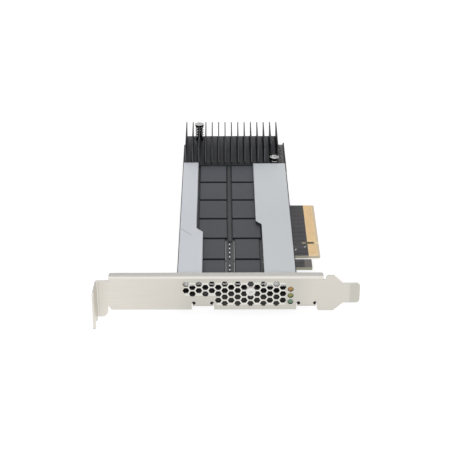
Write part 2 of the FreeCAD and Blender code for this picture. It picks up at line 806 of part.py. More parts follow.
# Power parts that stand on the main board under the right cover
def make_power_parts():
    def row(label, count, first, pitch, length, width, height):
        return [block(f"{label}_{i + 1}", f"right_boss_x - {length} / 2",
                      f"{first} + {i} * {pitch} - {width} / 2", "board_top", length, width, height)
                for i in range(count)]
    for inductor in row("power_inductor", INDUCTORS, "front_boss_y + inductor_start", "inductor_pitch",
                        "inductor_size", "inductor_size", "inductor_height"):
        keep(inductor, inductor.Name)
    for regulator in row("regulator_chip", REGULATORS, "front_boss_y + regulator_start", "regulator_pitch",
                         "regulator_size", "regulator_size", "regulator_height"):
        keep(regulator, regulator.Name)
    tantalums = row("tantalum", TANTALUMS, "rear_boss_y - tantalum_setback", "-tantalum_pitch",
                    "tantalum_length", "tantalum_width", "tantalum_height")
    group("tantalum_capacitors", tantalums)


# Bracket: one folded sheet with a vented face, a top flange, a slot tongue, two lugs and a screw tab
def make_bracket():
    body = new_body("bracket")
    face = sketch_on(body, "face_outline", "XZ_Plane", "bracket_to_key")
    left_lug = ("left_lug_x - left_lug_width / 2", "left_lug_x + left_lug_width / 2")
    right_lug = ("right_lug_x - right_lug_width / 2", "right_lug_x + right_lug_width / 2")
    draw_outline(face, [
        ("face_left + face_chamfer", "face_bottom"),
        (f"{left_lug[0]} - lug_slit", "face_bottom"),
        (f"{left_lug[0]} - lug_slit", "lug_slit_top"),
        (left_lug[0], "lug_slit_top"),
        (left_lug[0], "lug_bottom"),
        (left_lug[1], "lug_bottom"),
        (left_lug[1], "lug_slit_top"),
        (f"{left_lug[1]} + lug_slit", "lug_slit_top"),
        (f"{left_lug[1]} + lug_slit", "face_bottom"),
        (f"{right_lug[0]} - lug_slit", "face_bottom"),
        (f"{right_lug[0]} - lug_slit", "lug_slit_top"),
        (right_lug[0], "lug_slit_top"),
        (right_lug[0], "lug_bottom"),
        (right_lug[1], "lug_bottom"),
        (right_lug[1], "lug_slit_top"),
        ("-shoulder_low_start", "lug_slit_top"),
        ("-shoulder_low_start", "shoulder_bottom"),
        ("shoulder_end", "shoulder_bottom"),
        ("tongue_start", "tongue_bottom"),
        ("tongue_bend", "tongue_bottom"),
        ("tongue_bend", "tongue_top"),
        ("tongue_start", "tongue_top"),
        ("shoulder_end", "shoulder_top"),
        ("-shoulder_high_start", "shoulder_top"),
        ("-shoulder_high_start", "face_top - flange_notch"),
        ("face_right", "face_top - flange_notch"),
        ("face_right", "face_top"),
        ("face_left", "face_top"),
        ("face_left", "neck_rise"),
        ("bracket_left", "neck_rise"),
        ("bracket_left", "-neck_drop"),
        ("bracket_left + neck_width", "-neck_drop"),
        ("bracket_left + neck_width", "-neck_notch"),
        ("face_left", "-neck_notch"),
    ])
    pad(body, face, "sheet_thickness", reverse=True)
    flange = sketch_on(body, "flange", "XY_Plane", "face_top - sheet_thickness")
    draw_rectangle(flange, "face_left", "face_right", "face_outer", "face_outer + flange_depth")
    pad(body, flange, "sheet_thickness")
    tongue = sketch_on(body, "tongue", "XY_Plane", "tongue_bottom")
    draw_outline(tongue, [
        ("tongue_bend", "face_outer"),
        ("tongue_end", "face_outer + tongue_bend_depth"),
        ("tongue_end", "face_inner + tongue_bend_depth"),
        ("tongue_bend", "face_inner"),
    ])
    pad(body, tongue, "tongue_width")
    screw_tab = sketch_on(body, "screw_tab", "XY_Plane", "-neck_drop")
    tab_end = "face_outer - screw_tab_depth"
    draw_outline(screw_tab, [
        ("bracket_left", "face_inner"),
        ("bracket_left - screw_tab_splay", tab_end),
        ("bracket_left - screw_tab_splay + sheet_thickness", tab_end),
        ("bracket_left + sheet_thickness", "face_outer"),
        ("bracket_left + sheet_thickness", "face_inner"),
    ])
    pad(body, screw_tab, "neck_rise + neck_drop")
    lugs = sketch_on(body, "lugs", "XY_Plane", "lug_bottom")
    for low, high in (left_lug, right_lug):
        draw_rectangle(lugs, low, high, "face_outer", "face_outer + lug_depth")
    pad(body, lugs, "sheet_thickness")

    inner_tab = places.bracket_left + sheet.sheet_thickness
    inner_flange = places.face_top - sheet.sheet_thickness
    round_corners(body, "bend_outside", "bend_inside + sheet_thickness", 0,
                  [(places.face_outer, places.face_top), (places.face_outer, places.lug_bottom)])
    round_corners(body, "bend_hollow", "bend_inside", 0,
                  [(places.face_inner, inner_flange), (places.face_inner, places.board_bottom)])
    round_corners(body, "tab_bend_outside", "bend_inside + sheet_thickness", 2,
                  [(places.bracket_left, places.face_inner)])
    round_corners(body, "tab_bend_hollow", "bend_inside", 2, [(inner_tab, places.face_outer)])
    flange_rear = places.face_outer + sheet.flange_depth
    round_corners(body, "flange_corners", "flange_corner", 2,
                  [(places.face_left, flange_rear), (places.face_right, flange_rear)])
    lug_rear = places.face_outer + sheet.lug_depth
    lug_sides = [centre + way * width / 2 for way in (-1, 1) for centre, width in (
        (places.left_lug_x, sheet.left_lug_width), (places.right_lug_x, sheet.right_lug_width))]
    round_corners(body, "lug_corners", "lug_corner", 2, [(side, lug_rear) for side in lug_sides])
    tab_front = places.face_outer - sheet.screw_tab_depth
    round_corners(body, "screw_tab_corners", "screw_tab_corner", 0,
                  [(tab_front, -sheet.neck_drop), (tab_front, sheet.neck_rise)])
    round_corners(body, "neck_round", "neck_corner", 1,
                  [(places.bracket_left + sheet.neck_width, -sheet.neck_drop)])
    round_corners(body, "tongue_corners", "tongue_corner", 1,
                  [(places.tongue_end, places.tongue_bottom), (places.tongue_end, places.tongue_top)])
    round_corners(body, "shoulder_corners", "shoulder_corner", 1,
                  [(-sheet.shoulder_low_start, places.shoulder_bottom),
                   (-sheet.shoulder_high_start, places.shoulder_top)])

    notch = sketch_on(body, "notch_sides", "YZ_Plane", "bracket_left - screw_tab_splay")
    notch_y = "face_outer - notch_place"
    notch_round = "notch_depth - neck_drop - notch_width / 2"
    draw_rectangle(notch, f"{notch_y} - notch_width / 2", f"{notch_y} + notch_width / 2",
                   "-neck_drop - notch_depth", notch_round)
    pocket(body, notch, "sheet_thickness + screw_tab_splay", reverse=True)
    notch_top = sketch_on(body, "notch_top", "YZ_Plane", "bracket_left - screw_tab_splay")
    draw_circle(notch_top, notch_y, notch_round, "notch_width")
    pocket(body, notch_top, "sheet_thickness + screw_tab_splay", reverse=True)
    lug_holes = sketch_on(body, "lug_holes", "XY_Plane", "board_bottom")
    for side in ("left", "right"):
        draw_circle(lug_holes, f"{side}_lug_x", "lug_screw_y", "lug_screw + 2 * thread_clearance")
    pocket(body, lug_holes, "sheet_thickness")
    relief = sketch_on(body, "relief_holes", "XZ_Plane", "bracket_to_key")
    for low, high in (left_lug, right_lug):
        draw_circle(relief, f"{low} + lug_relief_inset", "lug_slit_top", "lug_relief")
        draw_circle(relief, f"{high} - lug_relief_inset", "lug_slit_top", "lug_relief")
    draw_circle(relief, "face_screw_x", "face_screw_z", "face_screw + 2 * thread_clearance")
    for i in range(len(LIGHTS)):
        draw_circle(relief, "light_x", f"light_low + {i} * light_pitch", "light_hole")
    pocket(body, relief, "sheet_thickness")
    for row, (column, count) in enumerate(VENT_ROWS):
        vent = sketch_on(body, f"vent_{row + 1}", "XZ_Plane", "bracket_to_key")
        x = f"face_left + vent_start + {column} * vent_pitch"
        z = f"vent_top - {row} * vent_row_pitch"
        half = "vent_across / sqrt(12)"
        draw_outline(vent, [
            (f"{x} + 2 * {half}", z), (f"{x} + {half}", f"{z} + vent_across / 2"),
            (f"{x} - {half}", f"{z} + vent_across / 2"), (f"{x} - 2 * {half}", z),
            (f"{x} - {half}", f"{z} - vent_across / 2"), (f"{x} + {half}", f"{z} - vent_across / 2")])
        repeat(body, pocket(body, vent, "sheet_thickness"), "2 * vent_pitch", f"{count}")


# Screws of the bracket: two down through the board into the lugs, one through the face into a post
def make_bracket_fasteners():
    screws = []
    for side in ("left", "right"):
        x = f"{side}_lug_x"
        head = rod(f"lug_head_{side}", x, "lug_screw_y", "board_top", "lug_screw_head",
                   "lug_screw_head_height")
        shank = rod(f"lug_shank_{side}", x, "lug_screw_y", "board_top - lug_screw_length", "lug_screw",
                    "lug_screw_length")
        screws.append(fused(f"lug_screw_{side}", [head, shank]))
    group("bracket_screws", screws)
    head = rod("face_head", "face_screw_x", "face_outer - face_screw_head_height", "face_screw_z",
               "face_screw_head", "face_screw_head_height", along_y=True)
    shank = rod("face_shank", "face_screw_x", "face_outer", "face_screw_z",
                "face_screw", "face_screw_length", along_y=True)
    keep(fused("bracket_face_screw", [head, shank]), "bracket_face_screw")
    blank = block("post_blank", "face_screw_x - post_width / 2", "face_inner", "board_top",
                  "post_width", "post_depth", "face_screw_z + post_cap - board_top")
    thread = rod("post_thread", "face_screw_x", "face_inner - post_depth", "face_screw_z",
                 "face_screw + 2 * thread_clearance", "3 * post_depth", along_y=True)
    keep(cut("bracket_post", blank, thread), "bracket_post")


# Indicator lights: three round lenses in the bracket's holes, carried by one holder behind the board's notch
def make_lights():
    keep(block("light_holder", "light_x - light_holder_width / 2", "light_notch_rear", "board_top",
               "light_holder_width", "light_holder_depth",
               f"light_low + {len(LIGHTS) - 1} * light_pitch + light_holder_cap - board_top"), "light_holder")
    for i, colour in enumerate(LIGHTS):
        lens = rod(f"light_lens_{colour}", "light_x", "face_outer + lens_recess",
                   f"light_low + {i} * light_pitch", "lens_diameter",
                   "light_notch_rear - face_outer - lens_recess", along_y=True)
        keep(lens, f"light_lens_{colour}")


# Rail: a low strip along the board's right edge beside the heat sink
def make_edge_rail():
    keep(block("edge_rail", "board_shoulder - rail_width", "rail_front", "board_top",
               "rail_width", "board_rear - rail_front", "rail_height"), "edge_rail")


make_main_board()
make_edge_contacts("edge_contacts_top", "board_top")
make_edge_contacts("edge_contacts_bottom", "board_bottom - contact_thickness")
make_memory_board()
make_connectors()
make_memory_chips()
make_centre_line()
make_controller()
make_heat_sink()
make_sink_fasteners()
make_cover("left", "+", "memory_top")
make_cover("right", "-", "board_top")
make_cover_fasteners()
make_power_parts()
make_bracket()
make_bracket_fasteners()
make_lights()
make_edge_rail()

doc.recompute()
for item in doc.Objects:
    if "Invalid" in item.State or "Error" in item.State:
        raise RuntimeError(f"{item.Label} failed: {item.State}")
for item in nodes:
    if item.Shape.isNull() or not item.Shape.isValid():
        raise RuntimeError(f"{item.Label} has no valid shape")

os.makedirs("parts", exist_ok=True)
for item in nodes:
    item.Shape.exportStep(f"parts/{item.Label}.step")
print(f"{len(nodes)} pieces")
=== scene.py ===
import math
from types import SimpleNamespace

import bmesh
import bpy
from mathutils import Matrix, Vector


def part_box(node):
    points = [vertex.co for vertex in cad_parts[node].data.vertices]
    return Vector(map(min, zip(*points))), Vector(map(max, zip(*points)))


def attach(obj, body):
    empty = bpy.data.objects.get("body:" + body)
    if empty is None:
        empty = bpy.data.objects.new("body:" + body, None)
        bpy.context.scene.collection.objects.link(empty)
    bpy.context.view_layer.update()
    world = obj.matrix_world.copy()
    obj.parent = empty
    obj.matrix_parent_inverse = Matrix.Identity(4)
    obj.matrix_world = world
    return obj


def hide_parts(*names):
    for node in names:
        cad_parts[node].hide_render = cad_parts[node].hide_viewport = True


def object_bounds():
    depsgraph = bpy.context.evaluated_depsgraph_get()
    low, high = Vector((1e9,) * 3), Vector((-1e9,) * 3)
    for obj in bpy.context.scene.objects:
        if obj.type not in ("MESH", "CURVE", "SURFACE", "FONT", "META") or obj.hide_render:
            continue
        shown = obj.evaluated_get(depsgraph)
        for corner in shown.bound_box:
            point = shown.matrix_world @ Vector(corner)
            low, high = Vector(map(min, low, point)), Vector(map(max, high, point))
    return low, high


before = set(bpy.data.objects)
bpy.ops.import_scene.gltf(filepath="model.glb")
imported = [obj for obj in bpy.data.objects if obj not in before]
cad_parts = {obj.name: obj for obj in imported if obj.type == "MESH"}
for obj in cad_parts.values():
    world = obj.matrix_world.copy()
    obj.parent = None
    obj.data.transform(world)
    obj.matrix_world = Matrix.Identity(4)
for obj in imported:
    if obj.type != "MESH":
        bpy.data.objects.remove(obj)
cad_low, cad_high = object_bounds()


# Main board. A black multilayer laminate routed to shape: solder mask over fine tracks on both faces, bare
# glass fibre along the cut edges and round the gold contacts. The rest of the card is built up on it.
MM = 0.001


def add_node(tree, kind, inputs=None, **settings):
    """A node with its settings made and its inputs linked or set."""
    made = tree.nodes.new(kind)
    for name, value in settings.items():
        setattr(made, name, value)
    for socket, value in (inputs or {}).items():
        if isinstance(value, bpy.types.NodeSocket):
            tree.links.new(value, made.inputs[socket])
        else:
            made.inputs[socket].default_value = value
    return made


def maths(tree, operation, first, second=0.0):
    return add_node(tree, "ShaderNodeMath", {0: first, 1: second}, operation=operation).outputs[0]


def overlap(tree, *masks):
    """The masks multiplied: 1 only where all of them are 1."""
    result, *others = masks
    for other in others:
        result = maths(tree, "MULTIPLY", result, other)
    return result


def ramp(tree, value, start, end, low=0.0, high=1.0):
    """The low number at the start value, the high one at the end value, straight between them."""
    limits = {"Value": value, "From Min": start, "From Max": end, "To Min": low, "To Max": high}
    return add_node(tree, "ShaderNodeMapRange", limits).outputs[0]


def within(tree, value, start, end, soft=0.05):
    """1 between two places in mm, 0 outside them, with a soft rim."""
    rising = ramp(tree, value, (start - soft) * MM, (start + soft) * MM)
    falling = ramp(tree, value, (end + soft) * MM, (end - soft) * MM)
    return overlap(tree, rising, falling)


def patch(tree, spot, across, along):
    """1 inside a rectangle seen from above, between two x and two y in mm."""
    return overlap(tree, within(tree, spot.x, *across), within(tree, spot.y, *along))


def blend(tree, factor, first, second):
    """The first colour where the factor is 0, the second where it is 1."""
    factor_socket, first_socket, second_socket, result_socket = 0, 6, 7, 2
    inputs = {factor_socket: factor, first_socket: first, second_socket: second}
    return add_node(tree, "ShaderNodeMix", inputs, data_type="RGBA").outputs[result_socket]


def finish(name, colour, roughness, metallic=0.0, grain=0.4, spread=0.12, relief=0.002,
           stretch=(1.0, 1.0, 1.0), mirror=0.5):
    """A material whose colour, gloss and surface vary with a fine grain; its size and relief are in mm."""
    material = bpy.data.materials.new(name)
    material.use_nodes = True
    tree = material.node_tree
    shader = tree.nodes["Principled BSDF"]
    place = add_node(tree, "ShaderNodeTexCoord").outputs["Object"]
    spot = add_node(tree, "ShaderNodeMapping", {"Vector": place, "Scale": stretch}).outputs[0]
    grains = {"Vector": spot, "Scale": 1 / (grain * MM), "Detail": 3.0}
    noise = add_node(tree, "ShaderNodeTexNoise", grains).outputs[0]
    dark = [channel * (1 - spread) for channel in colour] + [1.0]
    light = [channel * (1 + spread) for channel in colour] + [1.0]
    low, high, swing = 0.3, 0.7, 0.05
    gloss = ramp(tree, noise, low, high, roughness - swing, roughness + swing)
    surface = add_node(tree, "ShaderNodeBump", {"Height": noise, "Distance": relief * MM})
    tree.links.new(blend(tree, ramp(tree, noise, low, high), dark, light), shader.inputs["Base Color"])
    tree.links.new(gloss, shader.inputs["Roughness"])
    tree.links.new(surface.outputs[0], shader.inputs["Normal"])
    shader.inputs["Metallic"].default_value = metallic
    shader.inputs["Specular IOR Level"].default_value = mirror
    return material


def coordinates(material):
    """Sockets for a point's x, y and z and for how far its face looks to the rear, up, and up or down."""
    tree = material.node_tree
    source = add_node(tree, "ShaderNodeTexCoord")
    x, y, z = add_node(tree, "ShaderNodeSeparateXYZ", {0: source.outputs["Object"]}).outputs
    rear, up = add_node(tree, "ShaderNodeSeparateXYZ", {0: source.outputs["Normal"]}).outputs[1:]
    return SimpleNamespace(x=x, y=y, z=z, rear=rear, up=up, flat=maths(tree, "ABSOLUTE", up))


def paint(material, where, colour, cover=1.0):
    """Covers a material's colour with another one where the mask is 1, by the given share."""
    tree = material.node_tree
    base = tree.nodes["Principled BSDF"].inputs["Base Color"]
    under = base.links[0].from_socket
    tree.links.new(blend(tree, overlap(tree, where, cover), under, [*colour, 1.0]), base)


def emboss(material, height, depth):
    """Adds a relief to a material's surface; its depth is in mm."""
    tree = material.node_tree
    normal = tree.nodes["Principled BSDF"].inputs["Normal"]
    under = normal.links[0].from_socket
    raised = add_node(tree, "ShaderNodeBump", {"Height": height, "Distance": depth * MM, "Normal": under})
    tree.links.new(raised.outputs[0], normal)


def stripes(tree, value, pitch, share, soft=0.04):
    """1 on stripes of a pitch in mm that take up the given share of it, 0 between them."""
    turn = maths(tree, "FRACT", maths(tree, "DIVIDE", value, pitch * MM))
    offset = maths(tree, "ABSOLUTE", maths(tree, "SUBTRACT", turn, 0.5))
    return ramp(tree, offset, share / 2 + soft, share / 2 - soft)


def new_object(name, data):
    """A new object in the scene, at the origin."""
    made = bpy.data.objects.new(name, data)
    bpy.context.scene.collection.objects.link(made)
    return made


def add_piece(name, mesh, material):
    """A new piece of the card, at the origin, with the given finish."""
    mesh.materials.clear()
    mesh.materials.append(material)
    piece = new_object(name, mesh)
    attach(piece, "root")
    return piece


def smooth(mesh):
    """Shades round faces smooth and keeps edges sharp."""
    mesh.shade_smooth()
    mesh.set_sharp_from_angle(angle=math.radians(20))


def as_mesh(name, shape):
    """A finished shape as a mesh."""
    mesh = bpy.data.meshes.new(name)
    shape.to_mesh(mesh)
    shape.free()
    return mesh


def eased(node, material, edge):
    """Stands for a CAD solid: a copy with its facets merged and its sharp edges rounded by a radius in mm."""
    same_spot, same_plane, least_turn = 0.002 * MM, math.radians(0.3), math.radians(30)
    shape = bmesh.new()
    shape.from_mesh(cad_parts[node].data)
    bmesh.ops.remove_doubles(shape, verts=shape.verts, dist=same_spot)
    bmesh.ops.dissolve_limit(shape, angle_limit=same_plane, verts=shape.verts, edges=shape.edges)
    sharp = [side for side in shape.edges if side.is_manifold and side.calc_face_angle() > least_turn]
    bmesh.ops.bevel(shape, geom=sharp, offset=edge * MM, offset_type="OFFSET", segments=2, profile=0.5,
                    affect="EDGES", clamp_overlap=False)
    mesh = as_mesh(node, shape)
    smooth(mesh)
    piece = add_piece(f"{node}_eased", mesh, material)
    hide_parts(node)


def coat(node, material):
    """Gives a CAD solid its material."""
    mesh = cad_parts[node].data
    mesh.materials.clear()
    mesh.materials.append(material)


def cut_edges(tree, spot):
    """1 on a board's upright edges, 0 on its flat faces."""
    return ramp(tree, spot.flat, 0.6, 0.4)


def board_finish(name, mask, edge):
    """Solder mask with tracks and tinned holes on the flat faces, and the given colour on the cut edges,
    which on the memory board is painted light.
    """
    material = finish(name, mask, 0.45, grain=1.2, spread=0.10, relief=0.004, mirror=0.35)
    tree = material.node_tree
    spot = coordinates(material)
    place = add_node(tree, "ShaderNodeTexCoord").outputs["Object"]
    drift = add_node(tree, "ShaderNodeTexNoise", {"Vector": place, "Scale": 150.0, "Detail": 1.0}).outputs[0]
    cells = add_node(tree, "ShaderNodeTexVoronoi", {"Vector": place, "Scale": 420.0, "Randomness": 0.8})
    track_pitch, track_share, track_height = 0.55, 0.4, 0.02
    tracks = overlap(tree, stripes(tree, spot.x, track_pitch, track_share), ramp(tree, drift, 0.50, 0.52))
    hole_spots = ramp(tree, cells.outputs["Distance"], 0.13, 0.10)
    paint(material, tracks, [channel * 1.9 for channel in mask], 0.6)
    emboss(material, tracks, track_height)
    paint(material, overlap(tree, hole_spots, ramp(tree, drift, 0.55, 0.50)), (0.16, 0.16, 0.15), 0.8)
    paint(material, cut_edges(tree, spot), edge)
    return material


main_mask = board_finish("main_board_mask", (0.029, 0.027, 0.030), (0.25, 0.24, 0.175))
main_tree = main_mask.node_tree
main = coordinates(main_mask)
main_edges = cut_edges(main_tree, main)
board_low, board_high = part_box("main_board")
board_front = board_low.y / MM
rail_low, rail_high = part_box("edge_rail")
finger_root = rail_high.x / MM
contacts_low, contacts_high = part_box("edge_contacts_top")
pads_left, pads_right = contacts_low.x / MM, contacts_high.x / MM
pads_front, pads_rear = contacts_low.y / MM, contacts_high.y / MM
PAST_EDGE, EDGE_SKIN = 1.0, 0.3

LEAD_PITCH, LEAD_SHARE, LEAD_HEIGHT, LEAD_STOP = 1.0, 0.45, 0.03, 0.15
finger = within(main_tree, main.x, finger_root, pads_left - LEAD_STOP)
leads = overlap(main_tree, stripes(main_tree, main.y, LEAD_PITCH, LEAD_SHARE), finger)
paint(main_mask, overlap(main_tree, leads, main.flat), (0.055, 0.052, 0.056), 0.7)
emboss(main_mask, leads, LEAD_HEIGHT)
GAP_PITCH, GAP_SHARE = 4.3, 0.24
lead_gaps = overlap(main_tree, stripes(main_tree, main.y, GAP_PITCH, GAP_SHARE), finger, main.flat)
paint(main_mask, lead_gaps, (0.012, 0.011, 0.012), 0.6)

HOOK_FRONT, HOOK_REAR, HOOK_BARE = -23.65, -15.95, -8.0
hook = patch(main_tree, main, (HOOK_BARE, 0.0), (HOOK_FRONT, HOOK_REAR))
paint(main_mask, overlap(main_tree, hook, main.flat), (0.113, 0.101, 0.096))
BARE_GAP, BARE_MARGIN = 0.1, 0.5
bare_along = (pads_front - BARE_MARGIN, pads_rear + BARE_MARGIN)
bare = patch(main_tree, main, (pads_left - BARE_GAP, PAST_EDGE), bare_along)
paint(main_mask, overlap(main_tree, bare, main.flat), (0.79, 0.63, 0.41))
outer_rim = overlap(main_tree, bare, within(main_tree, main.x, pads_right + BARE_GAP, PAST_EDGE))
paint(main_mask, overlap(main_tree, outer_rim, main.flat), (0.56, 0.46, 0.32))

# Painted shade: the board's front edge, and its top for the first 9 mm behind it, are painted near black for
# the shade under the bracket's flange.
FRONT_SHADE_DEPTH = 9.0
front_edge_shade = within(main_tree, main.y, board_front - PAST_EDGE, board_front + EDGE_SKIN)
paint(main_mask, overlap(main_tree, main_edges, front_edge_shade), (0.020, 0.019, 0.015))
front_shade = within(main_tree, main.y, board_front - PAST_EDGE, board_front + FRONT_SHADE_DEPTH)
paint(main_mask, overlap(main_tree, main.flat, front_shade), (0.008, 0.008, 0.008))
STRIP_WIDTH, STRIP_LEAD = 5.21, 1.9
strip_ground = patch(main_tree, main, (finger_root - STRIP_WIDTH, finger_root),
                     (rail_low.y / MM - STRIP_LEAD, rail_high.y / MM + PAST_EDGE))
paint(main_mask, overlap(main_tree, strip_ground, main.flat), (0.140, 0.139, 0.138))

FINGER_LEAD, PLATED_FADE = 2.0, 1.0
finger_end = overlap(main_tree, main_edges,
                     within(main_tree, main.y, pads_front - FINGER_LEAD, pads_front + BARE_MARGIN))
paint(main_mask, finger_end, (0.29, 0.28, 0.228))
plated = ramp(main_tree, main.x, (pads_left - PLATED_FADE) * MM, (pads_left + PLATED_FADE) * MM)
paint(main_mask, overlap(main_tree, finger_end, plated), (0.46, 0.405, 0.305))
hook_end = patch(main_tree, main, (finger_root, PAST_EDGE), (HOOK_FRONT - PAST_EDGE, HOOK_FRONT + EDGE_SKIN))
paint(main_mask, overlap(main_tree, main_edges, hook_end), (0.29, 0.28, 0.215))
# Painted light and shade in the key slot: its walls are painted dark brown, lighter at the slot's foot and
# pale at its mouth, where light reaches in.
KEY_HALF, KEY_MOUTH, MOUTH_FADE, KEY_FOOT, FOOT_FADE = 1.4, -1.9, 0.6, -6.6, 0.8
key_walls = overlap(main_tree, main_edges, within(main_tree, main.y, -KEY_HALF, KEY_HALF))
lit_key_foot = ramp(main_tree, main.x, (KEY_FOOT + FOOT_FADE) * MM, KEY_FOOT * MM)
lit_key_mouth = ramp(main_tree, main.x, (KEY_MOUTH - MOUTH_FADE) * MM, KEY_MOUTH * MM)
paint(main_mask, key_walls, (0.10, 0.08, 0.05))
paint(main_mask, overlap(main_tree, key_walls, lit_key_foot), (0.30, 0.28, 0.19))
paint(main_mask, overlap(main_tree, key_walls, lit_key_mouth), (0.72, 0.60, 0.38))
eased("main_board", main_mask, edge=0.05)


# Edge contacts. Copper pads with hard gold plate on both faces of the finger, in two groups with the key slot
# between them; they slide into the spring contacts of the slot.
gold = finish("gold_plate", (0.97, 0.70, 0.385), 0.34, 1.0, grain=2.0, spread=0.05, relief=0.001)
coat("edge_contacts_top", gold)
coat("edge_contacts_bottom", gold)


# Small parts on the main board. Ceramic capacitors and chip resistors, soldered by their tinned ends: beside
# the heat sink and in front of the covers, and more of them on the underside.
def new_group(name, inputs, output):
    """An empty geometry node group with named inputs, and the outputs of its input node."""
    tree = bpy.data.node_groups.new(name, "GeometryNodeTree")
    for label, kind in inputs.items():
        tree.interface.new_socket(label, in_out="INPUT", socket_type=kind)
    tree.interface.new_socket(output, in_out="OUTPUT", socket_type="NodeSocketGeometry")
    return tree, tree.nodes.new("NodeGroupInput").outputs


def bake(carrier):
    """The mesh that an object's modifiers make; the object itself goes."""
    bpy.context.view_layer.update()
    mesh = bpy.data.meshes.new_from_object(carrier.evaluated_get(bpy.context.evaluated_depsgraph_get()))
    bpy.data.objects.remove(carrier)
    return mesh


def grow(name, group, points, values):
    """The plain mesh that a geometry node group makes on points, each with a turn about the vertical."""
    seed = bpy.data.meshes.new(name)
    seed.from_pydata([Vector(point[:3]) * MM for point in points], [], [])
    turns = seed.attributes.new("turn", "FLOAT_VECTOR", "POINT")
    for i, point in enumerate(points):
        turns.data[i].vector = (0.0, 0.0, math.radians(point[3]))
    carrier = new_object(name, seed)
    modifier = carrier.modifiers.new(name, "NODES")
    modifier.node_group = group
    for socket in group.interface.items_tree:
        if socket.in_out == "INPUT" and socket.name in values:
            modifier[socket.identifier] = values[socket.name]
    return bake(carrier)


def place_copies(tree, given, copies, output):
    """Ends a group: copies of a shape on its points, turned, made solid and given its finish."""
    turn = add_node(tree, "GeometryNodeInputNamedAttribute", {"Name": "turn"}, data_type="FLOAT_VECTOR")
    copy_set = add_node(tree, "GeometryNodeInstanceOnPoints", {
        "Points": given["Points"], "Instance": copies, "Rotation": turn.outputs["Attribute"]})
    solid = add_node(tree, "GeometryNodeRealizeInstances", {"Geometry": copy_set.outputs[0]})
    coated = add_node(tree, "GeometryNodeSetMaterial", {
        "Geometry": solid.outputs[0], "Material": given["Finish"]})
    add_node(tree, "NodeGroupOutput", {output: coated.outputs[0]})


block_group, block_inputs = new_group("blocks_on_points", {
    "Points": "NodeSocketGeometry", "Length": "NodeSocketFloat", "Width": "NodeSocketFloat",
    "Height": "NodeSocketFloat", "Finish": "NodeSocketMaterial"}, "Blocks")
block_size = add_node(block_group, "ShaderNodeCombineXYZ", {
    0: block_inputs["Length"], 1: block_inputs["Width"], 2: block_inputs["Height"]})
block_cube = add_node(block_group, "GeometryNodeMeshCube", {"Size": block_size.outputs[0]})
place_copies(block_group, block_inputs, block_cube.outputs["Mesh"], "Blocks")


def blocks(name, places, size, material):
    """Blocks of one size (mm) centred on places (x, y, z in mm and a turn in degrees)."""
    values = {"Length": size[0] * MM, "Width": size[1] * MM, "Height": size[2] * MM, "Finish": material}
    return add_piece(name, grow(name, block_group, places, values), material)


def two_ended_parts(name, places, size, body_material, end_share):
    """Soldered chip parts lying on a face: a body between two tinned ends, as two pieces."""
    length, width, height = size
    end, slimmer, lower = length * end_share, 0.97, 0.96
    body = (length - 2 * end, width * slimmer, height * lower)
    caps = []
    for x, y, z, turn in places:
        angle = math.radians(turn)
        for shift in ((end - length) / 2, (length - end) / 2):
            caps.append((x + shift * math.cos(angle), y + shift * math.sin(angle), z, turn))
    blocks(f"{name}_bodies", places, body, body_material)
    blocks(f"{name}_ends", caps, (end, width, height), tin)


tin = finish("tinned_ends", (0.30, 0.30, 0.29), 0.38, 1.0, grain=0.2, spread=0.15, relief=0.004)
ceramic = finish("capacitor_ceramic", (0.12, 0.105, 0.085), 0.55, grain=0.2, spread=0.15)
grey_ceramic = finish("grey_ceramic", (0.105, 0.104, 0.102), 0.55, grain=0.2, spread=0.15)
resistor_black = finish("resistor_glaze", (0.025, 0.025, 0.028), 0.35, grain=0.2)
SMALL = (1.6, 0.8, 0.8)
TINY = (1.0, 0.5, 0.5)
BOARD_TOP, BOARD_UNDER = board_high.z / MM, board_low.z / MM
small_top, tiny_top = BOARD_TOP + SMALL[2] / 2, BOARD_TOP + TINY[2] / 2
small_under, tiny_under = BOARD_UNDER - SMALL[2] / 2, BOARD_UNDER - TINY[2] / 2

CAPACITOR_ENDS, RESISTOR_ENDS, UNDER_ENDS = 0.18, 0.25, 0.22
STRIP_X = -14.9
strip_turns = {79.6: 0, 82.2: 0, 86.4: 90, 90.6: 0, 92.4: 0, 97.0: 90, 101.5: 0, 105.2: 0, 109.4: 90}
strip_parts = [(STRIP_X, y, small_top, turn) for y, turn in strip_turns.items()]
two_ended_parts("strip_capacitors", strip_parts, SMALL, grey_ceramic, CAPACITOR_ENDS)
strip_resistors = [(x, y, tiny_top, turn) for x, y, turn in (
    (-15.7, 88.6, 0), (-14.2, 88.6, 0), (-15.7, 94.4, 90), (-14.3, 94.8, 0), (-15.6, 99.4, 0),
    (-14.2, 99.4, 0), (-15.5, 103.4, 0), (-14.1, 107.4, 90), (-15.6, 111.6, 0))]
two_ended_parts("strip_resistors", strip_resistors, TINY, grey_ceramic, RESISTOR_ENDS)
LIGHT_ROW = -50.6
light_resistors = [(x, LIGHT_ROW, tiny_top, 90) for x in (-21.0, -22.4, -23.8)]
two_ended_parts("light_resistors", light_resistors, TINY, resistor_black, RESISTOR_ENDS)
PAIRS_X, PAIRS_START, PAIRS_PITCH, PAIR_GAP = -14.2, -10.5, 3.0, 1.1
coupling = [(PAIRS_X, PAIRS_START + PAIRS_PITCH * i + PAIR_GAP * j, tiny_under, 0)
            for i in range(16) for j in range(2)]
two_ended_parts("coupling_capacitors", coupling, TINY, ceramic, UNDER_ENDS)
FIELD_LEFT, FIELD_FRONT, FIELD_ACROSS, FIELD_ALONG = -50.0, 84.5, 3.5, 3.2
decoupling = [(FIELD_LEFT + FIELD_ACROSS * i, FIELD_FRONT + FIELD_ALONG * j, tiny_under, 90 * ((i + j) % 2))
              for i in range(7) for j in range(8)]
two_ended_parts("decoupling_capacitors", decoupling, TINY, ceramic, UNDER_ENDS)
RIGHT_ROW_X, RIGHT_ROW_START, RIGHT_ROW_PITCH = -20.4, 14.0, 4.0
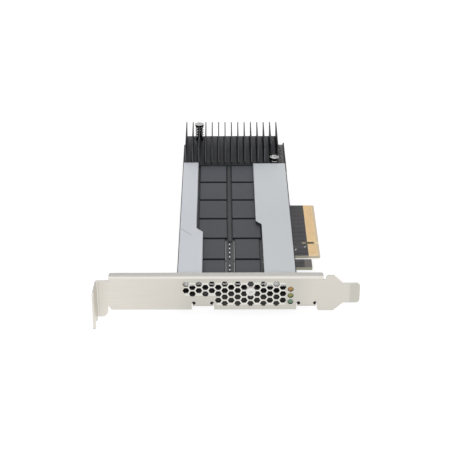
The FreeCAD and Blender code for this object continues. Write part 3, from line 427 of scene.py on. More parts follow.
LEFT_ROW_X, LEFT_ROW_START, LEFT_ROW_PITCH = -62.0, -24.0, 6.5
bulk = [(RIGHT_ROW_X, RIGHT_ROW_START + RIGHT_ROW_PITCH * i, small_under, 90 * (i % 2)) for i in range(8)]
bulk += [(LEFT_ROW_X, LEFT_ROW_START + LEFT_ROW_PITCH * i, small_under, 90) for i in range(6)]
two_ended_parts("bulk_capacitors", bulk, SMALL, ceramic, UNDER_ENDS)


# Controller. A ball-mounted package under the heat sink: a laminate substrate with a stamped metal lid, and a
# soft grey thermal pad squeezed between the lid and the heat sink.
eased("controller_substrate", finish("controller_laminate", (0.05, 0.12, 0.07), 0.4, grain=0.6), edge=0.05)
lid_metal = finish("lid_nickel", (0.55, 0.55, 0.54), 0.35, 1.0, grain=0.6, stretch=(0.2, 1, 1))
eased("controller_lid", lid_metal, edge=0.25)
eased("thermal_pad", finish("thermal_pad", (0.25, 0.27, 0.30), 0.85, grain=0.3, relief=0.01), edge=0.06)


# Stacking connectors. Moulded nylon sockets on the main board and plugs under the memory board; pressed
# together they carry the memory board's signals.
nylon = finish("connector_nylon", (0.02, 0.02, 0.022), 0.5, grain=0.25)
for side in ("left", "right"):
    eased(f"connector_socket_{side}", nylon, edge=0.12)
    eased(f"connector_plug_{side}", nylon, edge=0.08)


# Power parts under the right cover. Pressed ferrite inductors, moulded regulator chips and tantalum
# capacitors in yellow cases, soldered flat on the main board.
ferrite = finish("ferrite", (0.055, 0.055, 0.058), 0.65, grain=0.25, spread=0.3, relief=0.01)
for i in (1, 2, 3):
    eased(f"power_inductor_{i}", ferrite, edge=0.3)
mould = finish("chip_mould", (0.046, 0.0485, 0.0545), 0.62, grain=0.18, spread=0.22, relief=0.003)
mould_tree = mould.node_tree
moulded = coordinates(mould)
# Painted light: the mould is painted paler from 30 mm to 75 mm along the card, towards the rear rows.
MOULD_LIGHT_START, MOULD_LIGHT_END = 30.0, 75.0
paint(mould, ramp(mould_tree, moulded.y, MOULD_LIGHT_START * MM, MOULD_LIGHT_END * MM), (0.066, 0.071, 0.081))
# Painted shade: the sloped sides and rounded edges are painted near black and given less specular gloss.
paint(mould, ramp(mould_tree, moulded.flat, 0.97, 0.90), (0.014, 0.014, 0.016))
mould_tree.links.new(ramp(mould_tree, moulded.flat, 0.90, 0.97, 0.05, 0.5),
                     mould_tree.nodes["Principled BSDF"].inputs["Specular IOR Level"])
for i in (1, 2):
    eased(f"regulator_chip_{i}", mould, edge=0.08)
eased("tantalum_capacitors", finish("tantalum_case", (0.55, 0.34, 0.08), 0.5, grain=0.25), edge=0.12)


# Memory board. A thinner black laminate carried on the stacking connectors and spacers above the main board,
# with white printed marks beside the chips; the main board's finger has two such marks.
# Painted light: the memory board's cut edges are painted near white for the light that reaches its front edge
# through the bracket's vents.
memory_mask = board_finish("memory_board_mask", (0.050, 0.052, 0.055), (0.92, 0.90, 0.87))
memory_tree = memory_mask.node_tree
memory = coordinates(memory_mask)
memory_low, memory_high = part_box("memory_board")
MEMORY_TOP, MEMORY_UNDER, MEMORY_FRONT = memory_high.z / MM, memory_low.z / MM, memory_low.y / MM
# Painted shade: the front edge is painted near black below its top 0.55 mm.
LIT_EDGE_HEIGHT = 0.55
lower_edge = overlap(memory_tree, cut_edges(memory_tree, memory),
                     within(memory_tree, memory.z, MEMORY_UNDER - PAST_EDGE, MEMORY_TOP - LIT_EDGE_HEIGHT, 0.1),
                     within(memory_tree, memory.y, MEMORY_FRONT - PAST_EDGE, MEMORY_FRONT + EDGE_SKIN))
paint(memory_mask, lower_edge, (0.05, 0.05, 0.05))
eased("memory_board", memory_mask, edge=0.05)

ink = finish("print_ink", (0.62, 0.62, 0.60), 0.7, grain=0.3, spread=0.1)
INK_HEIGHT, MARK_GAP = 0.02, 0.28
OUTLINE_MARK = (18.4, 0.14, INK_HEIGHT)
CORNER_MARK, FINGER_MARK = (0.6, 0.35, INK_HEIGHT), (1.5, 0.45, INK_HEIGHT)
memory_ink, finger_ink = MEMORY_TOP + INK_HEIGHT / 2, BOARD_TOP + INK_HEIGHT / 2
row_marks = []
for row in (1, 2):
    left_low, left_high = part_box(f"memory_chip_left_{row}")
    right_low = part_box(f"memory_chip_right_{row}")[0]
    middle = (left_low.y + left_high.y) / 2 / MM
    row_marks.append((left_high.x / MM + MARK_GAP, middle, memory_ink, 90))
    row_marks.append((right_low.x / MM - MARK_GAP, middle, memory_ink, 90))
blocks("chip_outline_marks", row_marks, OUTLINE_MARK, ink)
corner_marks = [(x, y, memory_ink, turn) for x, y, turn in (
    (-27.76, -4.81, 0), (-27.92, -17.12, 60), (-28.25, -23.79, 30))]
blocks("chip_corner_marks", corner_marks, CORNER_MARK, ink)
finger_marks = [(-11.58, -6.71, finger_ink, 70), (-6.94, -3.97, finger_ink, 60)]
blocks("finger_marks", finger_marks, FINGER_MARK, ink)


# Memory chips. Twelve flat moulded packages reflowed to the memory board in two columns; the mould's fine
# grain shows on their tops and their edges are slightly rounded, with painted shade on the edges and painted
# light on the rear rows.
for side in ("left", "right"):
    for row in range(1, 7):
        eased(f"memory_chip_{side}_{row}", mould, edge=0.30)


# Centre line. Two black rubber strips laid along the gap between the chip columns, and a row of small ceramic
# capacitors with tinned ends, soldered to the memory board in front of them.
strip_rubber = finish("strip_rubber", (0.041, 0.043, 0.047), 0.7, grain=0.2, relief=0.006)
eased("centre_strip_front", strip_rubber, edge=0.3)
eased("centre_strip_rear", strip_rubber, edge=0.3)
row_low, row_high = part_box("centre_capacitors")
row_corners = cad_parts["centre_capacitors"].data.vertices
row_places = sorted({round(corner.co.y / MM, 3) for corner in row_corners})
BODY_SHARE, ROW_SHIFT, END_SHARE, SOLDER = 0.55, -0.18, 0.16, 1.02
row_x = (row_low.x + row_high.x) / 2 / MM + ROW_SHIFT
row_width = BODY_SHARE * (row_high.x - row_low.x) / MM
row_height = (row_high.z - row_low.z) / MM
row_length = row_places[1] - row_places[0]
end_length = row_length * END_SHARE
row_middles = [(row_x, start + row_length / 2, MEMORY_TOP + row_height / 2, 90) for start in row_places[::2]]
row_ends = [(x, y + shift, z, turn) for x, y, z, turn in row_middles
            for shift in ((end_length - row_length) / 2, (row_length - end_length) / 2)]
pale_ceramic = finish("pale_ceramic", (0.70, 0.70, 0.69), 0.5, grain=0.2)
body_size = (row_length - 2 * end_length, row_width, row_height)
end_size = (end_length, row_width * SOLDER, row_height * SOLDER)
row_bodies = blocks("centre_capacitor_bodies", row_middles, body_size, pale_ceramic)
blocks("centre_capacitor_ends", row_ends, end_size, tin)
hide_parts("centre_capacitors")


# Spacers and side covers. Hexagonal spacers hold the memory board; two moulded shells with a silver paint
# finish stand along its sides. Screws from under the main board hold the covers by their bosses. The covers
# carry painted light and shade: paler towards the rear, the right one darker, near-black walls facing the
# chips, and a front wall painted near black below and near white above.
eased("board_spacers", finish("spacer_brass", (0.60, 0.55, 0.42), 0.35, 1.0, grain=0.4), edge=0.1)
# Painted shade: the right cover's silver is a copy of the left's, mixed a little darker and less blue.
SILVER = {"left": (0.555, 0.575, 0.61), "right": (0.525, 0.55, 0.57)}
INNER_WALLS = {"left": (-60.4, -56.0), "right": (-31.5, -27.8)}
FRONT_WALL = (-46.0, -44.9)
WALL_SPLIT = {"left": 3.25, "right": 2.95}
SPLIT_SOFT, COVER_METAL = 0.4, 0.35
COVER_LIGHT_START, COVER_LIGHT_END, COVER_LIGHT_GAIN = 15.0, 78.0, 1.12
silver = {}
for side, tint in SILVER.items():
    silver[side] = finish(f"{side}_cover_silver", tint, 0.48, COVER_METAL, grain=0.12, spread=0.07,
                          relief=0.0015)
    cover_tree = silver[side].node_tree
    cover = coordinates(silver[side])
    walls = ramp(cover_tree, cover.flat, 0.5, 0.3)
    inner_wall_shade = overlap(cover_tree, within(cover_tree, cover.x, *INNER_WALLS[side]), walls)
    front = overlap(cover_tree, within(cover_tree, cover.y, *FRONT_WALL), walls)
    upper = ramp(cover_tree, cover.z, WALL_SPLIT[side] * MM, (WALL_SPLIT[side] + SPLIT_SOFT) * MM)
    lit_front_wall = overlap(cover_tree, front, upper)
    # Painted light: each cover is painted paler towards the rear.
    paint(silver[side], ramp(cover_tree, cover.y, COVER_LIGHT_START * MM, COVER_LIGHT_END * MM),
          [channel * COVER_LIGHT_GAIN for channel in tint])
    # Painted shade: the cover walls that face the chips are painted near black.
    paint(silver[side], inner_wall_shade, (0.030, 0.031, 0.034))
    # Painted shade and light: the front wall is painted near black below the split, and near white and
    # non-metallic above it.
    paint(silver[side], front, (0.03, 0.03, 0.03))
    paint(silver[side], lit_front_wall, (0.94, 0.94, 0.93))
    cover_tree.links.new(ramp(cover_tree, lit_front_wall, 0.0, 1.0, COVER_METAL, 0.0),
                         cover_tree.nodes["Principled BSDF"].inputs["Metallic"])


def line_distance(tree, spot, start, direction):
    """How far a point lies along a direction from a start in mm."""
    part_x = maths(tree, "MULTIPLY", maths(tree, "SUBTRACT", spot.x, start.x * MM), direction.x)
    part_y = maths(tree, "MULTIPLY", maths(tree, "SUBTRACT", spot.y, start.y * MM), direction.y)
    return maths(tree, "ADD", part_x, part_y)


crease_tree = silver["left"].node_tree
crease_spot = coordinates(silver["left"])
CREASE_START, CREASE_END = Vector((-67.62, 2.88)), Vector((-62.39, -3.42))
CREASE_WIDTH, CREASE_DEPTH, END_FADE, SIDE_FADE = 0.36, 0.06, 0.4, 0.12
crease_along = (CREASE_END - CREASE_START).normalized()
crease_across = Vector((-crease_along.y, crease_along.x))
crease_reach = within(crease_tree, line_distance(crease_tree, crease_spot, CREASE_START, crease_along),
                      0.0, (CREASE_END - CREASE_START).length, END_FADE)
crease_side = within(crease_tree, line_distance(crease_tree, crease_spot, CREASE_START, crease_across),
                     -CREASE_WIDTH / 2, CREASE_WIDTH / 2, SIDE_FADE)
crease = overlap(crease_tree, crease_reach, crease_side)
# Painted shade: the crease is painted darker along its groove as well as dented.
paint(silver["left"], crease, (0.24, 0.26, 0.29), 0.85)
emboss(silver["left"], maths(crease_tree, "SUBTRACT", 1.0, crease), CREASE_DEPTH)
eased("left_cover", silver["left"], edge=0.06)
eased("right_cover", silver["right"], edge=0.06)


# Cover screws. Four zinc-plated pan-head screws with cross recesses, driven from under the main board into
# the covers' bosses.
def turned(profile, steps=32):
    """A closed solid turned about the z axis from (radius, height) corners in mm, bottom to top."""
    shape = bmesh.new()
    rings = []
    for radius, height in profile:
        if radius == 0:
            rings.append([shape.verts.new((0, 0, height * MM))])
            continue
        rings.append([shape.verts.new((radius * MM * math.cos(2 * math.pi * i / steps),
                                       radius * MM * math.sin(2 * math.pi * i / steps), height * MM))
                      for i in range(steps)])
    for lower, upper in zip(rings, rings[1:]):
        for i in range(steps):
            j = (i + 1) % steps
            corners = [lower[i % len(lower)], lower[j % len(lower)],
                       upper[j % len(upper)], upper[i % len(upper)]]
            shape.faces.new(list(dict.fromkeys(corners)))
    bmesh.ops.recalc_face_normals(shape, faces=shape.faces)
    return shape


def cross_cutter(reach, width, top, depth, foot_share=0.55):
    """A tapered cross that cuts a driver's recess down from a height (mm)."""
    shape = bmesh.new()
    for turn in (0, math.pi / 2):
        blade = bmesh.ops.create_cube(shape, size=1.0)["verts"]
        for corner in blade:
            above = corner.co.z > 0
            taper = 1.0 if above else foot_share
            height = top + depth if above else top - depth
            corner.co = Vector((corner.co.x * 2 * reach * taper, corner.co.y * width * taper, height)) * MM
        bmesh.ops.rotate(shape, verts=blade, cent=(0, 0, 0), matrix=Matrix.Rotation(turn, 3, "Z"))
    return shape


def dome_profile(radius, height, dome, angles):
    """Corners (radius, height) up the side of a dome with its top at a height (mm), one at each angle."""
    return [(radius * math.cos(math.radians(angle)), height - dome + dome * math.sin(math.radians(angle)))
            for angle in angles]


def screw_mesh(name, head, head_height, dome, shank, shank_length, recess, shoulder=(0, 0)):
    """A screw with its head up and the head's seat at height 0, with a cross recess in a domed top (mm).

    A shoulder, a diameter and a length, is a thicker stretch of the shank under the head."""
    rim, point, point_length = 0.12 * head_height, 0.15, 0.25
    recess_width, recess_depth = 0.42 * recess, 0.62 * head_height
    width, reach = shoulder
    end = [(0, -shank_length), (shank / 2 - point, -shank_length), (shank / 2, -shank_length + point_length)]
    collar = [(shank / 2, -reach), (width / 2, -reach), (width / 2, 0)] if reach else [(shank / 2, 0)]
    side = [(head / 2 - rim, 0), (head / 2, rim), (head / 2, head_height - dome)]
    crown = dome_profile(head / 2, head_height, dome, (30, 50, 70))
    solid = new_object(name, as_mesh(name, turned([*end, *collar, *side, *crown, (0, head_height)])))
    cross = cross_cutter(recess, recess_width, head_height, recess_depth)
    cutter = new_object(f"{name}_recess", as_mesh(f"{name}_recess", cross))
    cut = solid.modifiers.new("recess", "BOOLEAN")
    cut.operation = "DIFFERENCE"
    cut.solver = "EXACT"
    cut.use_self = True
    cut.object = cutter
    mesh = bake(solid)
    bpy.data.objects.remove(cutter)
    smooth(mesh)
    return mesh


stamp_group, stamp_inputs = new_group("stamps_on_points", {
    "Points": "NodeSocketGeometry", "Stamp": "NodeSocketObject", "Finish": "NodeSocketMaterial"}, "Pieces")
stamp_shape = add_node(stamp_group, "GeometryNodeObjectInfo", {"Object": stamp_inputs["Stamp"]})
place_copies(stamp_group, stamp_inputs, stamp_shape.outputs["Geometry"], "Pieces")


def set_screws(node, mesh, places, material):
    """Screws of one mesh at places (x, y, z in mm and a turn), standing for a CAD node."""
    stamp = new_object("stamp", mesh)
    screw_set = grow(node, stamp_group, places, {"Stamp": stamp, "Finish": material})
    screws = add_piece(f"{node}_set", screw_set, material)
    bpy.data.objects.remove(stamp)
    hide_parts(node)


zinc = finish("zinc_plate", (0.60, 0.60, 0.61), 0.36, 1.0, grain=0.3, spread=0.1, relief=0.002)
cover_low, cover_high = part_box("cover_screws")
COVER_HEAD, COVER_HEAD_HEIGHT, COVER_DOME, COVER_SHANK, COVER_RECESS = 3.8, 1.2, 0.6, 2.0, 1.05
cover_columns = (cover_low.x / MM + COVER_HEAD / 2, cover_high.x / MM - COVER_HEAD / 2)
cover_rows = (cover_low.y / MM + COVER_HEAD / 2, cover_high.y / MM - COVER_HEAD / 2)
cover_places = [(x, y, BOARD_UNDER, 25 + 70 * i + 40 * j)
                for i, x in enumerate(cover_columns) for j, y in enumerate(cover_rows)]
cover_screw = screw_mesh("cover_screw", COVER_HEAD, COVER_HEAD_HEIGHT, COVER_DOME, COVER_SHANK,
                         cover_high.z / MM - BOARD_UNDER, COVER_RECESS)
cover_screw.transform(Matrix.Rotation(math.pi, 4, "X"))
set_screws("cover_screws", cover_screw, cover_places, zinc)


# Heat sink. One black anodised aluminium extrusion with upright fins. Painted highlights lighten the top
# edges and front ends of its fins; painted shade darkens the fins' sides and the floor beside each fin and
# round the screws, and painted light makes the rear paler.
def axis_distance(tree, first, second, centre):
    """How far a point lies from an axis, from two of its coordinates and those of the axis."""
    offsets = [maths(tree, "SUBTRACT", value, place) for value, place in zip((first, second), centre)]
    squares = [maths(tree, "MULTIPLY", offset, offset) for offset in offsets]
    return maths(tree, "SQRT", maths(tree, "ADD", *squares))


SINK_GLOSS, DULL_GLOSS = 0.4, 0.06
anodised = finish("black_anodise", (0.0235, 0.0245, 0.0290), 0.45, grain=0.5, spread=0.25, relief=0.004,
                  stretch=(1.0, 0.06, 1.0), mirror=SINK_GLOSS)
sink_tree = anodised.node_tree
sink = coordinates(anodised)
sink_low, sink_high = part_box("heat_sink")
SINK_BASE, FIN_FADE, HIGHLIGHT_START, HIGHLIGHT_FULL = 2.0, 0.1, 0.10, 0.02
tip_highlight = ramp(sink_tree, sink.z, sink_high.z - HIGHLIGHT_START * MM, sink_high.z - HIGHLIGHT_FULL * MM)
ends = ramp(sink_tree, sink.y, sink_low.y + HIGHLIGHT_START * MM, sink_low.y + HIGHLIGHT_FULL * MM)
fins = ramp(sink_tree, sink.z, sink_low.z + SINK_BASE * MM, sink_low.z + (SINK_BASE + FIN_FADE) * MM)
sink_floor = maths(sink_tree, "SUBTRACT", 1.0, fins)
# Painted light: the heat sink is painted lighter towards the rear.
REAR_LIGHT_START, REAR_LIGHT_END = 99.0, 113.0
paint(anodised, ramp(sink_tree, sink.y, REAR_LIGHT_START * MM, REAR_LIGHT_END * MM), (0.060, 0.061, 0.065))
FIN_MARGIN, FIN_THICKNESS, FIN_COUNT = 0.30, 0.55, 15
SHADE_SHIFT, SHADE_SHARE = 0.3, 0.20
fin_pitch = ((sink_high.x - sink_low.x) / MM - 2 * FIN_MARGIN - FIN_THICKNESS) / (FIN_COUNT - 1)
shade_start = sink_low.x / MM + FIN_MARGIN - SHADE_SHIFT - fin_pitch / 2
shade_x = maths(sink_tree, "SUBTRACT", sink.x, shade_start * MM)
# Painted shadow: a dark stripe on the floor beside each fin.
fin_shade = overlap(sink_tree, stripes(sink_tree, shade_x, fin_pitch, SHADE_SHARE), sink_floor)
paint(anodised, fin_shade, (0.003, 0.003, 0.004))
# Painted shade: the floor is darkened round each spring screw.
SCREW_SHADE, SCREW_SHADE_FULL = 4.0, 2.6
for end in ("rear", "front"):
    foot_low, foot_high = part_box(f"heat_sink_screw_{end}")
    reach = axis_distance(sink_tree, sink.x, sink.y, (foot_low + foot_high) / 2)
    screw_shade = ramp(sink_tree, reach, SCREW_SHADE * MM, SCREW_SHADE_FULL * MM)
    paint(anodised, overlap(sink_tree, screw_shade, sink_floor), (0.007, 0.007, 0.008))
# Painted shade: the fins' upright sides are painted near black.
fin_side_shade = overlap(sink_tree, fins, ramp(sink_tree, sink.flat, 0.5, 0.3))
paint(anodised, fin_side_shade, (0.012, 0.012, 0.014))
# Painted highlights: the fins' top edges and front ends, and the base's front face, are painted lighter; the
# top edges and the shaded floor lose specular gloss.
paint(anodised, overlap(sink_tree, tip_highlight, fins), (0.052, 0.053, 0.057))
paint(anodised, overlap(sink_tree, ends, fins), (0.075, 0.077, 0.082))
paint(anodised, overlap(sink_tree, ends, sink_floor), (0.035, 0.036, 0.038))
dull = maths(sink_tree, "MAXIMUM", tip_highlight, fin_shade)
sink_tree.links.new(ramp(sink_tree, dull, 0.0, 1.0, SINK_GLOSS, DULL_GLOSS),
                    sink_tree.nodes["Principled BSDF"].inputs["Specular IOR Level"])
eased("heat_sink", anodised, edge=0.04)


# Spring screws. Two shouldered steel screws hold the heat sink down through coil springs, with hexagon nuts
# under the main board. The springs are wound from round wire with closed ends.
spring_group, spring_inputs = new_group("coil_springs", {
    "Points": "NodeSocketGeometry", "Radius": "NodeSocketFloat", "Wire": "NodeSocketFloat",
    "Turns": "NodeSocketFloat", "Rise": "NodeSocketFloat", "Closed": "NodeSocketFloat",
    "Finish": "NodeSocketMaterial"}, "Springs")
STEPS_IN_TURN, WIRE_SIDES = 24, 10
coil_line = add_node(spring_group, "GeometryNodeCurveSpiral", {
    "Resolution": STEPS_IN_TURN, "Rotations": spring_inputs["Turns"], "Start Radius": spring_inputs["Radius"],
    "End Radius": spring_inputs["Radius"], "Height": 0.0})
coil_share = add_node(spring_group, "GeometryNodeSplineParameter").outputs["Factor"]
coil_top = maths(spring_group, "SUBTRACT", 1.0, spring_inputs["Closed"])
coil_rise = ramp(spring_group, coil_share, spring_inputs["Closed"], coil_top, 0.0, spring_inputs["Rise"])
coil_shift = add_node(spring_group, "ShaderNodeCombineXYZ", {2: coil_rise})
coil_lift = add_node(spring_group, "GeometryNodeSetPosition", {
    "Geometry": coil_line.outputs[0], "Offset": coil_shift.outputs[0]})
coil_section = add_node(spring_group, "GeometryNodeCurvePrimitiveCircle", {
    "Resolution": WIRE_SIDES, "Radius": maths(spring_group, "MULTIPLY", spring_inputs["Wire"], 0.5)})
coil_wire = add_node(spring_group, "GeometryNodeCurveToMesh", {
    "Curve": coil_lift.outputs[0], "Profile Curve": coil_section.outputs["Curve"], "Fill Caps": True})
place_copies(spring_group, spring_inputs, coil_wire.outputs[0], "Springs")

spring_steel = finish("spring_steel", (0.72, 0.72, 0.73), 0.25, 1.0, grain=0.3, spread=0.1)
wire = coordinates(spring_steel)
# Painted highlight and shade: the wire is painted near black except where it faces the front.
paint(spring_steel, ramp(spring_steel.node_tree, wire.rear, -0.80, -0.65), (0.020, 0.020, 0.022))
screw_steel = finish("screw_steel", (0.66, 0.66, 0.64), 0.38, 1.0, grain=0.3, spread=0.1)
screw_tree = screw_steel.node_tree
screw = coordinates(screw_steel)
# Painted light and shade: everything nearer the front than y 90 mm, the front screw, is painted near white,
# and the screws' upright sides near black.
HEAD_LIGHT_FULL, HEAD_LIGHT_START = 90.0, 95.0
paint(screw_steel, ramp(screw_tree, screw.y, HEAD_LIGHT_START * MM, HEAD_LIGHT_FULL * MM), (0.93, 0.93, 0.91))
paint(screw_steel, ramp(screw_tree, screw.flat, 0.8, 0.5), (0.020, 0.020, 0.022))
SINK_HEAD, SINK_HEAD_HEIGHT, SINK_DOME, SINK_RECESS = 4.8, 1.3, 0.12, 0.55
SINK_SHANK, SINK_SHOULDER, SHOULDER_GAP = 2.2, 2.6, 0.05
SPRING_WIRE, SPRING_WIDTH, CLOSED_TURNS, LEAST_TURNS = 0.55, 4.5, 0.6, 3
foot = sink_low.z / MM + SINK_BASE
for end, turns in (("rear", 6), ("front", 1)):
    screw_low, screw_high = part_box(f"heat_sink_screw_{end}")
    axis_x = screw_low.x / MM + SINK_HEAD / 2
    axis_y = (screw_low.y + screw_high.y) / 2 / MM
    seat = screw_high.z / MM - SINK_HEAD_HEIGHT
    sink_screw = screw_mesh(f"sink_screw_{end}", SINK_HEAD, SINK_HEAD_HEIGHT, SINK_DOME, SINK_SHANK,
                            seat - screw_low.z / MM, SINK_RECESS, (SINK_SHOULDER, seat - foot - SHOULDER_GAP))
    set_screws(f"heat_sink_screw_{end}", sink_screw, [(axis_x, axis_y, seat, 30)], screw_steel)
    spring = grow(f"spring_{end}", spring_group, [(axis_x, axis_y, foot + SPRING_WIRE / 2, 0)], {
        "Radius": (SPRING_WIDTH - SPRING_WIRE) / 2 * MM, "Wire": SPRING_WIRE * MM, "Turns": float(turns),
        "Rise": (seat - foot - SPRING_WIRE) * MM, "Closed": CLOSED_TURNS / max(turns, LEAST_TURNS),
        "Finish": spring_steel})
    smooth(spring)
    coil = add_piece(f"spring_{end}_coil", spring, spring_steel)
    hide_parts(f"heat_sink_spring_{end}")
eased("heat_sink_nuts", zinc, edge=0.15)


# Edge rail. A low black strip of moulded plastic along the main board's edge beside the heat sink. It is
# glued down over its whole length.
eased("edge_rail", finish("rail_plastic", (0.010, 0.010, 0.011), 0.5, grain=0.3), edge=0.15)


# Bracket. One sheet of steel, punched and folded: a vented face, a flange over the card, a splayed screw
# tab, a slot tongue and two lugs under the board. The nickel plate is brushed lengthwise; painted shade
# darkens the face midway, the tongue's end, the flat faces, the lower edges and the hole walls, and painted
# highlights lighten the bends and the metal between the vents.
nickel = finish("brushed_nickel", (0.735, 0.70, 0.64), 0.36, 1.0, grain=0.22, spread=0.05, relief=0.0012,
                stretch=(0.02, 1.0, 1.0))
nickel_tree = nickel.node_tree
plate = coordinates(nickel)
upright_faces = ramp(nickel_tree, plate.flat, 0.3, 0.1)
# Painted shade: the upright faces are painted darker in steps from the left towards the middle, and a little
# less dark near the right end.
FACE_SHADE_STEPS = ((-98.0, -70.0, 0.45), (-70.0, -60.0, 0.55), (-15.0, -6.0, -0.45))
face_shading = 0.0
for start, end, change in FACE_SHADE_STEPS:
    step = ramp(nickel_tree, plate.x, start * MM, end * MM, 0.0, change)
    face_shading = maths(nickel_tree, "ADD", step, face_shading)
paint(nickel, overlap(nickel_tree, face_shading, upright_faces), (0.576, 0.560, 0.507))
# Painted shade: the tongue beyond its bend is painted darker.
TONGUE_BEND, BEND_SOFT = 10.30, 0.2
tongue = ramp(nickel_tree, plate.x, (TONGUE_BEND - BEND_SOFT) * MM, (TONGUE_BEND + BEND_SOFT) * MM)
paint(nickel, tongue, (0.55, 0.535, 0.48), 0.9)
# Painted shade: flat faces, such as the flange top, are painted a little darker and greyer.
paint(nickel, ramp(nickel_tree, plate.flat, 0.93, 0.97), (0.715, 0.695, 0.66))
# Painted highlight: the rounded bends are painted lighter.
fold_highlight = overlap(nickel_tree, ramp(nickel_tree, plate.flat, 0.15, 0.35),
                ramp(nickel_tree, plate.flat, 0.97, 0.90))
paint(nickel, fold_highlight, (0.82, 0.79, 0.74))
# Painted shade: edges that face downwards are painted darker.
underside_shade = overlap(nickel_tree, ramp(nickel_tree, plate.up, -0.2, -0.4),
                      ramp(nickel_tree, plate.up, -0.97, -0.9))
paint(nickel, underside_shade, (0.34, 0.33, 0.30))
# Painted highlight: the upright faces between the vents are painted lighter.
UPPER_VENTS, LOWER_VENTS = (-64.5, -19.0, 4.3, 11.0), (-50.0, -19.0, -0.6, 4.3)
for left, right, bottom, top in (UPPER_VENTS, LOWER_VENTS):
    web_highlight = overlap(nickel_tree, within(nickel_tree, plate.x, left, right, 0.3),
                   within(nickel_tree, plate.z, bottom, top, 0.1), upright_faces)
    paint(nickel, web_highlight, (0.75, 0.73, 0.68))
# Painted shade: the walls of the punched holes are painted near black.
FACE_SKIN, FACE_BACK = -54.78, -53.9
HOLES_ACROSS, HOLES_UP = (-68.0, -2.0), (-0.7, 12.0)
hole_wall_shade = overlap(nickel_tree, within(nickel_tree, plate.y, FACE_SKIN, FACE_BACK, 0.02),
                     within(nickel_tree, plate.x, *HOLES_ACROSS), within(nickel_tree, plate.z, *HOLES_UP))
paint(nickel, hole_wall_shade, (0.07, 0.066, 0.058))
# Painted highlight and shade: a light line along the screw tab's fold, with a darker band beside it.
FOLD_LINE, FOLD_DEPTH, FOLD_SHADE = (-104.83, -104.03), (-56.2, -54.82), (-104.08, -103.53)
fold_line_highlight = overlap(nickel_tree, within(nickel_tree, plate.x, *FOLD_LINE, 0.1),
                    within(nickel_tree, plate.y, *FOLD_DEPTH, 0.02))
paint(nickel, fold_line_highlight, (0.95, 0.93, 0.88))
fold_shade = within(nickel_tree, plate.x, *FOLD_SHADE, 0.1)
paint(nickel, overlap(nickel_tree, fold_shade, upright_faces), (0.66, 0.63, 0.58))
eased("bracket", nickel, edge=0.09)


# Bracket fasteners. Two black pan-head screws hold the board to the lugs, and one flat-headed screw goes
# through the face into a square post on the board.
lug_low, lug_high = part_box("bracket_screws")
LUG_HEAD, LUG_HEAD_HEIGHT, LUG_DOME, LUG_SHANK, LUG_LENGTH, LUG_RECESS = 5.5, 1.8, 0.9, 2.9, 4.0, 1.5
lug_y = (lug_low.y + lug_high.y) / 2 / MM
lug_places = [(lug_low.x / MM + LUG_HEAD / 2, lug_y, BOARD_TOP, 20),
              (lug_high.x / MM - LUG_HEAD / 2, lug_y, BOARD_TOP, 65)]
lug_oxide = finish("lug_black_oxide", (0.035, 0.035, 0.037), 0.5, 0.6, grain=0.3)
lug_screw = screw_mesh("lug_screw", LUG_HEAD, LUG_HEAD_HEIGHT, LUG_DOME, LUG_SHANK, LUG_LENGTH, LUG_RECESS)
set_screws("bracket_screws", lug_screw, lug_places, lug_oxide)
face_low, face_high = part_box("bracket_face_screw")
FACE_HEAD, FACE_HEAD_HEIGHT, FACE_DOME, FACE_SHANK, FACE_LENGTH, FACE_RECESS = 4.3, 0.6, 0.25, 2.2, 5.0, 1.0
face_screw = screw_mesh("face_screw", FACE_HEAD, FACE_HEAD_HEIGHT, FACE_DOME, FACE_SHANK, FACE_LENGTH,
                        FACE_RECESS)
face_screw.transform(Matrix.Rotation(math.pi / 2, 4, "X"))
face_middle = (face_low + face_high) / 2 / MM
face_place = (face_middle.x, face_low.y / MM + FACE_HEAD_HEIGHT, face_middle.z, 0)
bright_zinc = finish("bright_zinc", (0.70, 0.69, 0.67), 0.34, 1.0, grain=0.3, spread=0.1, relief=0.002)
set_screws("bracket_face_screw", face_screw, [face_place], bright_zinc)
eased("bracket_post", finish("post_metal", (0.05, 0.05, 0.052), 0.45, 0.6, grain=0.4), edge=0.12)


# Indicator lights. Three tinted plastic light guides in one black holder on the board; their domed ends fill
# the round holes of the bracket.
eased("light_holder", finish("holder_plastic", (0.03, 0.03, 0.032), 0.5, grain=0.3), edge=0.15)
LENS_COLOURS = {"amber": (0.275, 0.152, 0.042), "lime": (0.168, 0.182, 0.054), "green": (0.092, 0.160, 0.105)}
LENS_DOME, RIM_START, RIM_COVER, RIM_HIGHLIGHT, RIM_TINT = 0.55, 0.75, 0.55, 0.45, 0.4
for colour, tint in LENS_COLOURS.items():
    lens_low, lens_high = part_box(f"light_lens_{colour}")
    radius = (lens_high.x - lens_low.x) / 2 / MM
    length = (lens_high.y - lens_low.y) / MM
    rod = [(0, 0), (radius, 0), (radius, length - LENS_DOME)]
    crown = dome_profile(radius, length, LENS_DOME, (20, 40, 60, 78))
    mesh = as_mesh(f"lens_{colour}", turned([*rod, *crown, (0, length)]))
    centre = Vector(((lens_low.x + lens_high.x) / 2, lens_high.y, (lens_low.z + lens_high.z) / 2))
    mesh.transform(Matrix.Translation(centre) @ Matrix.Rotation(math.pi / 2, 4, "X"))
    smooth(mesh)
    tinted = finish(f"lens_{colour}", tint, 0.18, grain=0.5, spread=0.12, relief=0.001)
    lens_tree = tinted.node_tree
    lens_spot = coordinates(tinted)
    off_axis = axis_distance(lens_tree, lens_spot.x, lens_spot.z, (centre.x, centre.z))
    rim = ramp(lens_tree, off_axis, RIM_START * radius * MM, radius * MM)
    # Painted highlight: each dome is painted paler towards its rim.
    paint(tinted, rim, [RIM_HIGHLIGHT + RIM_TINT * channel for channel in tint], RIM_COVER)
    dome = add_piece(f"lens_{colour}_dome", mesh, tinted)
    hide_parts(f"light_lens_{colour}")


